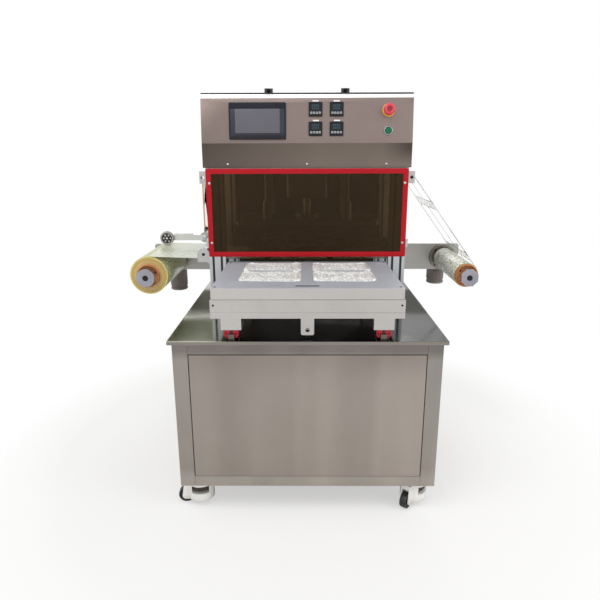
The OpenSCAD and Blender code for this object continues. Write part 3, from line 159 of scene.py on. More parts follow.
def moved(points, m):
    """Points turned and shifted into a frame: p' = R p + t."""
    return points @ m[:3, :3].T + m[:3, 3]


def circle(n):
    """Angles of a closed ring, its last equal to its first."""
    return np.linspace(0, TURN, n + 1)


def turned(rows, m, n=48, flutes=None, slot=0, uv=False, caps=(False, False)):
    """A turned surface: p(u, v) = (r(v) cos u, r(v) sin u, h(v)).
    A row is (r, h), or (r, h, k) where k blends the circle into a hexagon of the same width across flats: r /
    cos(u mod 60 deg - 30 deg).
    flutes = (count, depth, sharpness) takes depth * |sin(count u / 2)|^sharpness off the radius of the rows
    past the hub."""
    rows = np.array([(*row, 0.0)[:3] for row in rows], float)
    u = circle(n)[None, :]
    r, h, k = rows[:, :1], rows[:, 1:2], rows[:, 2:3]
    six = 1 / np.cos((u + TURN / 12) % (TURN / 6) - TURN / 12)
    radius = r * (1 + k * (six - 1))
    if flutes:
        count, depth, sharp = flutes
        cut = depth * (1 - np.abs(np.sin(count * u / 2)) ** sharp)
        radius = radius - cut * (r > 0.6 * r.max())
    p = np.stack((radius * np.cos(u), radius * np.sin(u), h + 0 * u), -1)
    grid_uv = None
    if uv:
        run = np.concatenate(([0], np.cumsum(np.hypot(np.diff(rows[:, 0]), np.diff(rows[:, 1])))))
        grid_uv = np.stack((u / TURN * r.max() * TURN * MM + 0 * r, run[:, None] * MM + 0 * u), -1)
    return sheet_of(moved(p, m), grid_uv, slot, caps)


def rounded(w, h, r, n=6):
    """A rectangle with round corners: each corner is its centre plus r (cos t, sin t), t over a quarter
    turn."""
    t = np.linspace(0, TURN / 4, n + 1)
    turns = np.arange(4)[:, None] * TURN / 4 + t[None, :]
    sx, sy = np.array((1, -1, -1, 1))[:, None], np.array((1, 1, -1, -1))[:, None]
    x = sx * (w / 2 - r) + r * np.cos(turns)
    y = sy * (h / 2 - r) + r * np.sin(turns)
    p = np.stack((x.ravel(), y.ravel()), -1)
    return np.vstack((p, p[:1]))


def polygon(*points):
    """A closed outline through points."""
    p = np.array(points, float)
    return np.vstack((p, p[:1]))


def inward(outline):
    """For each point of a closed outline drawn anticlockwise, the step that moves both its sides in by one:
    the sum of their normals over 1 + their cosine."""
    p = outline[:-1]
    d = np.roll(p, -1, 0) - p
    d /= np.maximum(np.linalg.norm(d, axis=1, keepdims=True), 1e-9)
    n = np.stack((-d[:, 1], d[:, 0]), -1)
    before = np.roll(n, 1, 0)
    step = (n + before) / np.maximum(1 + (n * before).sum(1, keepdims=True), 0.2)
    return np.vstack((step, step[:1]))


def layered(outline, rows, m, slot=0, capped=True):
    """A plate or bar: row v of the surface is the outline moved in by the row's first number, at the height
    of its second. The first and last rows can be capped."""
    step = inward(outline)
    rows = np.array(rows, float)
    p = np.empty((len(rows), len(outline), 3))
    p[:, :, :2] = outline[None] + rows[:, :1, None] * step[None]
    p[:, :, 2] = rows[:, 1:2]
    return sheet_of(moved(p, m), slot=slot, caps=(capped, capped))


def slab(low, high, edge):
    """The rows of a plate between two heights with its edges rounded: inset e (1 - sin t), height e (1 - cos
    t) at each end."""
    t = np.linspace(0, TURN / 4, 4)
    inset, drop = edge * (1 - np.sin(t)), edge * (1 - np.cos(t))
    up = np.stack((inset, low + drop), -1)
    down = np.stack((inset[::-1], high - drop[::-1]), -1)
    return np.vstack((up, down))


def stacked(rows, m, slot=0, caps=(False, False)):
    """A surface through outlines with the same number of points, each at its own height."""
    p = np.array([np.column_stack((outline, np.full(len(outline), h))) for outline, h in rows])
    return sheet_of(moved(p, m), slot=slot, caps=caps)


def ring(outer, inner, rows, m, slot=0):
    """A frame between two outlines: each row is (share from outer to inner, height)."""
    return stacked([(outer + (inner - outer) * share, h) for share, h in rows], m, slot)


def pin(r, low, high, m, n=16, slot=0):
    """A plain round bar with flat ends."""
    return turned([(r, low), (r, high)], m, n, slot=slot, caps=BOTH)


def filleted(points, radius, steps=4):
    """A line of points whose inner corners become arcs of about that radius, tangent to both sides."""
    p = np.array(points, float)
    out = [p[0]]
    for a, b, c in zip(p[:-2], p[1:-1], p[2:]):
        la, lc = np.linalg.norm(a - b), np.linalg.norm(c - b)
        cut = min(radius, la * 0.49, lc * 0.49)
        s, e = b + (a - b) / la * cut, b + (c - b) / lc * cut
        t = np.linspace(0, 1, steps + 1)[:, None]
        out.extend((1 - t) ** 2 * s + 2 * t * (1 - t) * b + t**2 * e)
    out.append(p[-1])
    return np.array(out)


def build(name, patches, finishes, body, replaces=(), closed=True, smooth=38):
    """One mesh object from patches in millimetres: seams and poles merged, faces outwards, placed by its
    vertices, riding on a body."""
    start, co, faces, index, uvs = 0, [], [], [], []
    for part in patches:
        co.append(part["co"])
        faces += [[v + start for v in f] for f in part["faces"]] if start else part["faces"]
        index += [part["slot"]] * len(part["faces"])
        uvs.append(part["uv"] if part["uv"] is not None else np.zeros((len(part["co"]), 2)))
        start += len(part["co"])
    mesh = bpy.data.meshes.new(name)
    mesh.from_pydata((np.vstack(co) * MM).tolist(), [], faces)
    mesh.polygons.foreach_set("material_index", np.array(index, np.int32))
    if any(part["uv"] is not None for part in patches):
        loops = np.empty(len(mesh.loops), np.int32)
        mesh.loops.foreach_get("vertex_index", loops)
        mesh.uv_layers.new(name="UVMap").data.foreach_set("uv", np.vstack(uvs)[loops].ravel())
    shape = bmesh.new()
    shape.from_mesh(mesh)
    bmesh.ops.remove_doubles(shape, verts=shape.verts, dist=2e-6)
    if closed:
        bmesh.ops.recalc_face_normals(shape, faces=shape.faces)
    shape.to_mesh(mesh)
    shape.free()
    return finished(name, mesh, finishes, body, replaces, smooth)


def finished(name, mesh, finishes, body, replaces, smooth, edge=0.0):
    """Links a mesh as a piece: smooth faces, sharp edges by angle, materials, an edge rounding, and what it
    rides on and stands for."""
    if mesh.materials:
        mesh.materials.clear()
    for finish in finishes:
        mesh.materials.append(finish)
    mesh.shade_smooth()
    mesh.set_sharp_from_angle(angle=math.radians(smooth))
    piece = bpy.data.objects.new(name, mesh)
    bpy.context.scene.collection.objects.link(piece)
    if edge:
        bevel = piece.modifiers.new("Edge", "BEVEL")
        bevel.width, bevel.segments, bevel.limit_method = edge * MM, 2, "ANGLE"
        bevel.angle_limit = math.radians(smooth)
        bevel.harden_normals = True
    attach(piece, body)
    if replaces:
        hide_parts(*replaces)
    return piece


def dressed(node, finish, body, edge=0.8, smooth=35):
    """A copy of a solid's mesh, its doubles merged and its flat faces joined, with rounded edges. It stands
    for the solid."""
    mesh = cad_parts[node].data.copy()
    shape = bmesh.new()
    shape.from_mesh(mesh)
    bmesh.ops.remove_doubles(shape, verts=shape.verts, dist=2e-6)
    bmesh.ops.dissolve_limit(
        shape, angle_limit=math.radians(0.5), verts=shape.verts, edges=shape.edges
    )
    for face in shape.faces:
        face.material_index = 0
    shape.to_mesh(mesh)
    shape.free()
    return finished(node + "_dressed", mesh, [finish], body, (node,), smooth, edge)


def bars(boxes, m, slot=0):
    """Small blocks from rows (x, y, z, half x, half y, half z) in a frame, as one patch: each is eight
    corners, centre plus or minus the halves."""
    boxes = np.array(boxes, float)
    sign = np.array([(x, y, z) for z in (-1, 1) for y in (-1, 1) for x in (-1, 1)], float)
    p = boxes[:, None, :3] + sign[None] * boxes[:, None, 3:]
    quad = np.array([(0, 2, 3, 1), (4, 5, 7, 6), (0, 1, 5, 4), (2, 6, 7, 3), (0, 4, 6, 2), (1, 3, 7, 5)])
    faces = (quad[None] + 8 * np.arange(len(boxes))[:, None, None]).reshape(-1, 4)
    return {"co": moved(p.reshape(-1, 3), m), "faces": faces.tolist(), "uv": None, "slot": slot}


def socket_head(m, d, t, slot=0, n=24):
    """A button-head screw: a dome of diameter d and height t with a hexagon socket."""
    r = d / 2
    dome = [(r, 0), (r, 0.25 * t)] + [
        (r * math.cos(a), 0.25 * t + 0.75 * t * math.sin(a)) for a in np.linspace(0.25, 1.15, 5)
    ]
    key = 0.26 * d
    rows = dome + [(key * 1.05, t * 0.985, 1), (key, t * 0.93, 1), (key, t * 0.35, 1), (0.001, t * 0.3, 1)]
    return turned(rows, m, n, slot=slot, caps=START)


def hex_head(m, af, t, slot=0):
    """A hexagon bolt head on a washer: the washer is a low turned disc and the head a hexagon with a
    chamfered crown."""
    r = af / 2
    rows = [
        (r * 1.35, 0), (r * 1.35, t * 0.25), (r * 1.3, t * 0.28), (r, t * 0.29, 1), (r, t * 0.9, 1),
        (r * 0.93, t, 0), (0.001, t),
    ]
    return turned(rows, m, 24, slot=slot, caps=START)


# ---- materials ----


class Value:
    """An output of a node, so that sums with it are written as formulas."""

    def __init__(self, net, socket):
        self.net, self.socket = net, socket

    def __add__(self, other):
        return self.net.math("ADD", self, other)

    def __sub__(self, other):
        return self.net.math("SUBTRACT", self, other)

    def __rsub__(self, other):
        return self.net.math("SUBTRACT", other, self)

    def __mul__(self, other):
        return self.net.math("MULTIPLY", self, other)

    def __truediv__(self, other):
        return self.net.math("DIVIDE", self, other)

    def __mod__(self, other):
        return self.net.math("MODULO", self, other)

    def __abs__(self):
        return self.net.math("ABSOLUTE", self)

    __radd__, __rmul__ = __add__, __mul__


class Net:
    """Adds nodes to a tree and joins them."""

    def __init__(self, tree):
        self.tree = tree

    def set(self, socket, value):
        if isinstance(value, Value):
            self.tree.links.new(value.socket, socket)
        else:
            socket.default_value = value

    def add(self, kind, inputs=None, **settings):
        node = self.tree.nodes.new(kind)
        for key, value in settings.items():
            setattr(node, key, value)
        for key, value in (inputs or {}).items():
            self.set(node.inputs[key], value)
        return node

    def out(self, kind, output, inputs=None, **settings):
        """One output of a new shader node."""
        return Value(self, self.add("ShaderNode" + kind, inputs, **settings).outputs[output])

    def math(self, operation, a, b=0.0):
        return self.out("Math", 0, {0: a, 1: b}, operation=operation)

    def root(self, value):
        return self.math("SQRT", value)

    def largest(self, first, *others):
        for other in others:
            first = self.math("MAXIMUM", first, other)
        return first

    def remap(self, value, low, high, to_low=0.0, to_high=1.0):
        ends = {"From Min": low, "From Max": high, "To Min": to_low, "To Max": to_high}
        return self.out("MapRange", 0, {"Value": value, **ends})

    def mix(self, factor, a, b, blend="MIX"):
        return self.out("Mix", 2, {0: factor, 6: a, 7: b}, data_type="RGBA", blend_type=blend)

    def times(self, a, factor):
        """A colour multiplied by a number, or by one number for each channel."""
        channels = factor if isinstance(factor, tuple) else (factor,) * 3
        return self.mix(1.0, a, (*channels, 1), "MULTIPLY")

    def added(self, a, b, operation="ADD"):
        return self.out("VectorMath", 0, {0: a, 1: b}, operation=operation)

    def scaled(self, vector, scale):
        return self.added(vector, scale, "MULTIPLY")

    def noise(self, vector, scale, detail=3.0, rough=0.5, output="Fac"):
        inputs = {"Vector": vector, "Scale": scale, "Detail": detail, "Roughness": rough}
        return self.out("TexNoise", output, inputs)

    def cells(self, vector, scale, output="Distance", feature="F1"):
        return self.out("TexVoronoi", output, {"Vector": vector, "Scale": scale}, feature=feature)

    def parts(self, vector):
        node = self.add("ShaderNodeSeparateXYZ", {"Vector": vector})
        return [Value(self, socket) for socket in node.outputs]


class Finish(Net):
    """A new material's net. at is its Object coordinates."""

    def __init__(self, name):
        self.material = bpy.data.materials.new(name)
        self.material.use_nodes = True
        super().__init__(self.material.node_tree)
        self.shader = self.tree.nodes["Principled BSDF"]
        self.at = self.out("TexCoord", "Object")

    def done(self, base, rough, relief=None, **constants):
        """The material with its colour and roughness. relief is a height in metres times distance: (height,
        strength, distance)."""
        ends = {"Base Color": base, "Roughness": rough}
        if relief:
            inputs = dict(zip(("Height", "Strength", "Distance"), relief))
            ends["Normal"] = self.out("Bump", 0, inputs)
        ends.update({key.replace("_", " "): value for key, value in constants.items()})
        for key, value in ends.items():
            self.set(self.shader.inputs[key], value)
        return self.material


def once(make):
    """Makes a material when its name is first asked for, and gives the same one after that."""

    def found(name, *values, **named):
        return bpy.data.materials.get(name) or make(name, *values, **named)

    return found


def effect(name, **inputs):
    """Turns make(net, given) into a node group, made once, and placed in a material with values of its
    own."""

    def grouped(make):
        tree = bpy.data.node_groups.new(name, "ShaderNodeTree")
        for label, value in inputs.items():
            kind = "NodeSocketFloat" if isinstance(value, float) else "NodeSocketVector"
            item = tree.interface.new_socket(name=label, in_out="INPUT", socket_type=kind)
            item.default_value = value
        net = Net(tree)
        given = net.add("NodeGroupInput").outputs
        made = make(net, {label: Value(net, given[label]) for label in inputs})
        for label in made:
            tree.interface.new_socket(name=label, in_out="OUTPUT", socket_type="NodeSocketFloat")
        net.add("NodeGroupOutput", made)
        return tree

    def wrap(make):
        def placed(net, **values):
            tree = bpy.data.node_groups.get(name) or grouped(make)
            node = net.add("ShaderNodeGroup", values, node_tree=tree)
            return {socket.name: Value(net, socket) for socket in node.outputs}

        return placed

    return wrap


@effect("Brushed_grain", Vector=(0.0, 0.0, 0.0), Squeeze=(4.0, 4.0, 900.0))
def brushed_grain(net, s):
    """Fine parallel lines: noise squeezed along one axis, plus a few deeper ones."""
    run = net.scaled(s["Vector"], s["Squeeze"])
    fine = net.noise(run, 1.0, 5.0, 0.6)
    deep = net.noise(net.scaled(run, (0.37, 0.37, 0.37)), 1.0, 2.0)
    return {"Grain": net.remap(fine, 0.3, 0.7), "Height": fine + net.remap(deep, 0.62, 0.72, 0, 0.6)}


@effect("Cloudy_tone", Vector=(0.0, 0.0, 0.0), Scale=3.0)
def cloudy_tone(net, s):
    """Slow patches of tone with smaller ones in them."""
    slow = net.noise(s["Vector"], s["Scale"], 2.0)
    small = net.noise(s["Vector"], s["Scale"] * 6.0, 3.0)
    return {"Tone": net.remap(slow * 0.7 + small * 0.3, 0.36, 0.64)}


@effect("Handling_marks", Vector=(0.0, 0.0, 0.0), Scale=11.0)
def handling_marks(net, s):
    """Smudges where hands wipe, and thin scratches in two directions."""
    smudge = net.remap(net.noise(s["Vector"], s["Scale"], 5.0, 0.62), 0.48, 0.66)
    lines = [
        net.remap(net.noise(net.scaled(s["Vector"], squeeze), 1.0, 1.0), 0.70, 0.74)
        for squeeze in ((26.0, 3.0, 900.0), (900.0, 40.0, 9.0))
    ]
    where = net.remap(net.noise(s["Vector"], 9.0, 1.0), 0.5, 0.6)
    return {"Smudge": smudge, "Scratch": net.largest(*lines) * where}


@effect("Fine_grit", Vector=(0.0, 0.0, 0.0), Scale=900.0)
def fine_grit(net, s):
    """A pebbled skin, with sparse specks of dust."""
    skin = net.noise(s["Vector"], s["Scale"], 3.0, 0.6)
    dots = net.remap(net.cells(s["Vector"], s["Scale"] * 0.35), 0.05, 0.12, 1.0, 0.0)
    where = net.remap(net.noise(s["Vector"], s["Scale"] * 0.06, 2.0), 0.52, 0.6)
    return {"Height": skin, "Dust": dots * where}


@effect("Round_an_axis", Vector=(0.0, 0.0, 0.0), Centre=(0.0, 0.0, 0.0))
def round_axis(net, s):
    """The distance from an axis along Y, and the share of a turn round it."""
    x, _, z = net.parts(net.added(s["Vector"], s["Centre"], "SUBTRACT"))
    return {"Radius": net.root(x * x + z * z), "Share": net.math("ARCTAN2", z, x) / TURN}


@effect("Printed_motif", UV=(0.0, 0.0, 0.0), Pitch=0.02)
def printed_motif(net, s):
    """A small all-over print for wrapping film: staggered rings between wavy lines. U is the way the film
    runs."""
    u, v, _ = net.parts(s["UV"])
    a, b = u / s["Pitch"], v / s["Pitch"]
    shift = abs(net.math("FLOOR", b)) % 2.0 * 0.5
    fx, fy = net.math("FRACT", a + shift) - 0.5, net.math("FRACT", b) - 0.5
    far = net.root(fx * fx + fy * fy)
    ring = net.remap(abs(far - 0.26), 0.05, 0.1, 1.0, 0.0)
    dot = net.remap(far, 0.08, 0.12, 1.0, 0.0)
    wave = net.math("SINE", a * TURN)
    line = net.remap(abs(abs(fy) - (wave * 0.03 + 0.44)), 0.02, 0.05, 1.0, 0.0)
    return {"Print": net.largest(ring, dot, line), "Dots": dot}


def shade(base, factor):
    """A colour made lighter or darker."""
    return (*(min(1.0, c * factor) for c in base[:3]), 1.0)


@once
def metal(
    name, base, squeeze=(4, 4, 900), rough=(0.22, 0.4), spread=0.10, patch=2.2, grain=0.05, depth=2e-5,
    tints=(), bands=(), streak=None, metallic=1.0, scratch=0.12,
):
    """Brushed or drawn metal: its tone drifts in patches, the grain lifts the colour and the normal, smudges
    and scratches change the roughness.

    Each of tints is (colour, axis, from, to) and turns it towards a colour along an axis.
    Each of bands is (colour, axis, centre, half, soft) and paints a thin line.
    streak = (squeeze, amount) adds soft reflections drawn out along an axis."""
    net = Finish(name)
    lines = brushed_grain(net, Vector=net.at, Squeeze=squeeze)
    clouds = cloudy_tone(net, Vector=net.at, Scale=patch)
    marks = handling_marks(net, Vector=net.at, Scale=patch * 5)
    col = base
    for second, axis, start, stop in tints:
        col = net.mix(net.remap(net.parts(net.at)[axis], start, stop), col, second)
    dark = net.times(col, (1 - spread, 1 - spread, 1 - spread * 1.05))
    col = net.mix(clouds["Tone"], dark, net.times(col, 1 + spread))
    if streak:
        drawn, amount = streak
        soft = net.remap(net.noise(net.scaled(net.at, drawn), 1.0, 2.0, 0.4), 0.36, 0.64)
        col = net.mix(soft, net.times(col, 1 - amount), net.times(col, 1 + amount))
    col = net.mix(lines["Grain"] * (grain * 2), col, net.times(col, 1.25))
    col = net.mix(marks["Scratch"] * scratch, col, net.times(col, 1.4))
    for second, axis, centre, half, soft in bands:
        off = abs(net.parts(net.at)[axis] - centre)
        col = net.mix(net.remap(off, half, half + soft, 1, 0), col, second)
    span = rough[1] - rough[0]
    gloss = marks["Smudge"] * (span * 0.7) + rough[0] + lines["Grain"] * (span * 0.3)
    return net.done(col, gloss, (lines["Height"], 0.3, depth), Metallic=metallic)


@once
def moulded(
    name, base, rough=(0.35, 0.5), grit=900, depth=3e-5, dust=0.25, patch=9.0, spread=0.08, coat=0.0,
    grime=None, specular=0.5,
):
    """Moulded plastic, rubber or enamel: a pebbled skin, slow changes of tone and specks of dust. A (colour,
    axis, from, to) tuple turns it, unevenly, towards that colour at the from end of an axis, gone by the to
    end."""
    net = Finish(name)
    skin = fine_grit(net, Vector=net.at, Scale=float(grit))
    clouds = cloudy_tone(net, Vector=net.at, Scale=patch)
    marks = handling_marks(net, Vector=net.at, Scale=patch * 3)
    col = net.mix(clouds["Tone"], shade(base, 1 - spread), shade(base, 1 + spread))
    if grime:
        second, axis, start, stop = grime
        low = net.remap(net.parts(net.at)[axis], start, stop, 1, 0)
        col = net.mix(low * net.remap(clouds["Tone"], 0, 1, 0.4, 1.0), col, second)
    col = net.mix(skin["Dust"] * dust, col, tone("B8B2A8"))
    return net.done(
        col, net.remap(marks["Smudge"], 0, 1, *rough), (skin["Height"], 0.4, depth),
        Coat_Weight=coat, Coat_Roughness=0.12, Specular_IOR_Level=specular,
    )


@once
def acrylic(name, base, rough=0.03, specular=0.3, ior=1.49, edge_light=None, weight=1.0):
    """Clear or tinted acrylic sheet: light passes through a plain tint, with faint wiping marks in the gloss.
    A (colour, from, to) tuple gives its front edge along Y a painted light, the colour seen edge-on through
    the sheet, and weight is the share of light that passes."""
    net = Finish(name)
    marks = handling_marks(net, Vector=net.at, Scale=7.0)
    clouds = cloudy_tone(net, Vector=net.at, Scale=1.6)
    col = net.mix(clouds["Tone"], shade(base, 0.9), shade(base, 1.1))
    if edge_light:
        edge, start, stop = edge_light
        col = net.mix(net.remap(net.parts(net.at)[1], start, stop, 1, 0), col, edge)
    gloss = net.remap(marks["Smudge"], 0, 1, rough, rough + 0.06)
    return net.done(col, gloss, Transmission_Weight=weight, IOR=ior, Specular_IOR_Level=specular)


# ---- settings ----


class SealerMetals(bpy.types.PropertyGroup):
    """Sheet and plate colours."""

    panel: colour("Cabinet panels", "Brushed stainless of the cabinet's panels", "9A918A")
    corner: colour("Cabinet corners", "Brushed stainless of the corner posts and rails", "958F89")
    # painted reflection: the worktop's dark tone stands for the machine mirrored in its polish
    worktop: colour("Worktop", "Polished stainless of the worktop", "4A4946")
    rim: colour("Worktop rim", "Folded edge of the worktop", "89837C")
    box: colour("Control box", "Stainless of the sloping panel", "988984")
    # painted shade: the skirt's colour is the panel's stainless darkened, as under the bend
    skirt: colour("Control box skirt", "Stainless under the bend of the panel", "6E655D")
    post: colour("Posts", "Anodised slotted posts", "BDC0C3")
    plate: colour("Drawer plates", "Milled aluminium of the drawer", "BBB7B4")
    # the bluish top is a painted reflection of the sky on the same plate
    mould: colour("Mould", "Anodised top of the mould plate", "B7BBC3")
    bracket: colour("Brackets", "Winder bracket plates", "A9A7A3")
    edge: length("Edge rounding", "Radius of the broken edges of plates", 0.0008, 0.0002, 0.002)


class SealerGuard(bpy.types.PropertyGroup):
    """The guard in front of the press."""

    tint: colour("Tint", "Colour that the tinted sheet lets through", "725F47")
    clear: colour("Clear sheet", "Colour that the clear side sheet lets through", "F7F8F7")
    border: colour("Border", "Printed border", "AC111D")


class SealerCasters(bpy.types.PropertyGroup):
    """The levelling casters."""

    body: colour("Bodies", "Enamel of the cast bodies", "F5F3EF")
    tread: colour("Wheels", "Wheels and pads", "232326")
    thumb: colour("Thumbwheels", "Serrated thumbwheels", "362723")
    flutes: IntProperty(name="Flutes", description="Notches round a thumbwheel", default=16, min=8, max=32)
    pitch: length("Thread pitch", "Pitch of the threaded stems", 0.002, 0.001, 0.004)


class SealerFilm(bpy.types.PropertyGroup):
    """The lidding film and the trays."""

    base: colour("Film", "Ground colour of the film", "F9FBF6")
    ink: colour("Print", "Ink of the small all-over print", "A9B990")
    roll_edge: colour("Roll ends", "Ends of the supply roll", "C2A256")
    roll_rim: colour("Roll rims", "Outer turns of the supply roll's ends", "DCCB6A")
    core: colour("Cores", "Cardboard cores", "BC7646")
    tray: colour("Trays", "Foil lids of the trays", "FBFBF9")
    motif: length("Motif", "Pitch of the print", 0.022, 0.01, 0.06)
    crinkle: length("Crinkle", "Height of the creases in the tray lids", 0.0026, 0.0, 0.003)


class SealerControls(bpy.types.PropertyGroup):
    """Instruments and buttons."""

    bezel: colour("Bezel", "Frame of the touch screen", "1F2028")
    screen: colour("Screen", "Resting touch screen", "5E5D65")
    gauge: colour("Controllers", "Cases of the temperature controllers", "17191C")
    # the pink cast of the head's red is partly a painted highlight
    stop: colour("Stop", "Mushroom head", "D63448")
    ring: colour("Stop ring", "Ring under the mushroom head", "E9B83A")
    start: colour("Start", "Green button", "086143")


class SealerStudio(bpy.types.PropertyGroup):
    """Camera, floor and lamps."""

    lens: FloatProperty(
        name="Lens", description="Focal length in millimetres on a 36 mm frame", default=32.39, min=20, max=90
    )
    place: FloatVectorProperty(
        name="Camera", description="Place of the camera", subtype="TRANSLATION",
        default=(-0.0093, -1.9772, 1.1396),
    )
    tilt: FloatVectorProperty(
        name="Aim", description="Pitch from straight down, heading and roll in degrees",
        default=(74.67, 0.48, -0.17),
    )
    floor: colour("Floor", "Pale floor", "F4F4F2")
    key: FloatProperty(name="Key", description="Power of the key lamp in watts", default=52, min=0, max=500)
    fill: FloatProperty(
        name="Fill", description="Power of each fill lamp in watts", default=26, min=0, max=500
    )
    sky: FloatProperty(
        name="Sky", description="Level of the soft light from all round", default=0.62, min=0, max=2
    )


# ---- finishes used by more than one piece ----


def stainless(s):
    """Sheet, grain across: lighter to the right as painted light, darker at the top as painted shade."""
    # painted light and shade: lighter towards the right, darker towards the top under the worktop
    tints = ((shade(s.panel, 1.14), 0, 0.0, 0.42), (shade(s.panel, 0.84), 2, 0.46, 0.56))
    return metal(
        "Brushed_stainless_panel", s.panel, (2, 2, 900), (0.3, 0.42), 0.05, 1.4, 0.03, 1e-5, tints,
        streak=((8, 8, 0.4), 0.08), scratch=0.05,
    )


def stainless_corner(s):
    """Sheet, grain up: painted light lower down and to the right, painted shade at the top."""
    return metal(
        "Brushed_stainless_corner", s.corner, (900, 900, 2), (0.3, 0.42), 0.05, 1.8, 0.03, 1e-5,
        # painted light: lighter to the right and towards the bottom; painted shade: darker at the top, under
        # the rim
        (
            (shade(s.corner, 1.06), 0, -0.1, 0.42),
            (shade(s.corner, 1.26), 2, 0.16, 0.12),
            (shade(s.corner, 0.66), 2, 0.53, 0.56),
        ),
        streak=((9, 9, 1.4), 0.07), scratch=0.06,
    )


def bright_steel():
    return metal("Ground_steel", tone("B9BCC0"), (500, 8, 500), (0.16, 0.3), 0.06, 8.0)


def zinc():
    return metal("Zinc_plated_screws", tone("BFC0BD"), (300, 300, 300), (0.25, 0.4), 0.1, 60.0)


def dark_screw():
    return metal("Blackened_screws", tone("2E2E30"), (300, 300, 300), (0.3, 0.45), 0.12, 60.0)


def black_nylon():
    return moulded("Black_nylon", tone("1B1B1D"), (0.42, 0.6), 1200, 2e-5, 0.12)


# ---- operators ----


class SEALER_OT_cabinet(bpy.types.Operator):
    """Cabinet frame, panels, worktop and caster plates"""

    bl_idname = "sealer.cabinet"
    bl_label = "Cabinet"

    def execute(self, context):
        s = context.scene.sealer_metals
        e = s.edge / MM
        dressed("cabinet_frame", stainless_corner(s), "frame", e)
        dressed("cabinet_panels", stainless(s), "frame", e)
        # painted reflections: dark as if mirroring the machine, lighter and olive at the left where it
        # mirrors
        # the supply roll, and a plain dark grey at the right; the rim keeps its own tone
        tints = (
            (tone("B0B0A1"), 0, -0.24, -0.29), (tone("4C4D4C"), 0, 0.24, 0.29), (s.rim, 2, 0.5945, 0.5938)
        )
        top = metal("Polished_worktop", s.worktop, (3, 400, 400), (0.08, 0.18), 0.08, 2.0, 0.03, 8e-6, tints)
        dressed("worktop", top, "frame", e * 1.5)
        dressed("caster_plates", zinc(), "frame", e)
        bolts = [
            hex_head(place(sx * CASTER_X + bx, sy * CASTER_Y + by, 90.0, out=(0, 0, -1)), 10, 4.2)
            for sx, sy, _ in CORNERS.values()
            for bx in (-27, 27)
            for by in (-27, 27)
        ]
        build("caster_bolts", bolts, [zinc()], "frame")
        # painted shade: dark strips round the panels stand in for the shadow in their gaps to the frame
        seal = moulded("Panel_seal", tone("4A403A"), (0.6, 0.75), 900, 2e-5, 0.1, 6.0, 0.15)
        rows = [(0, -1.2), (0, 0.1), (0.3, 0.25), (0.7, 0.25), (1, 0.1), (1, -1.2), (0, -1.2)]
        seams = []
        for width, faces in ((723.0, ((0, -1), (0, 1))), (798.0, ((-1, 0), (1, 0)))):
            outer, inner = rounded(width + 0.5, 416.6, 1.2, 3), rounded(width - 1.4, 414.7, 0.6, 3)
            for fx, fy in faces:
                seams.append(ring(outer, inner, rows, upright(fx * 410.5, fy * 448.0, 339.15, fx, fy)))
        build("panel_seals", seams, [seal], "frame")
        return {"FINISHED"}


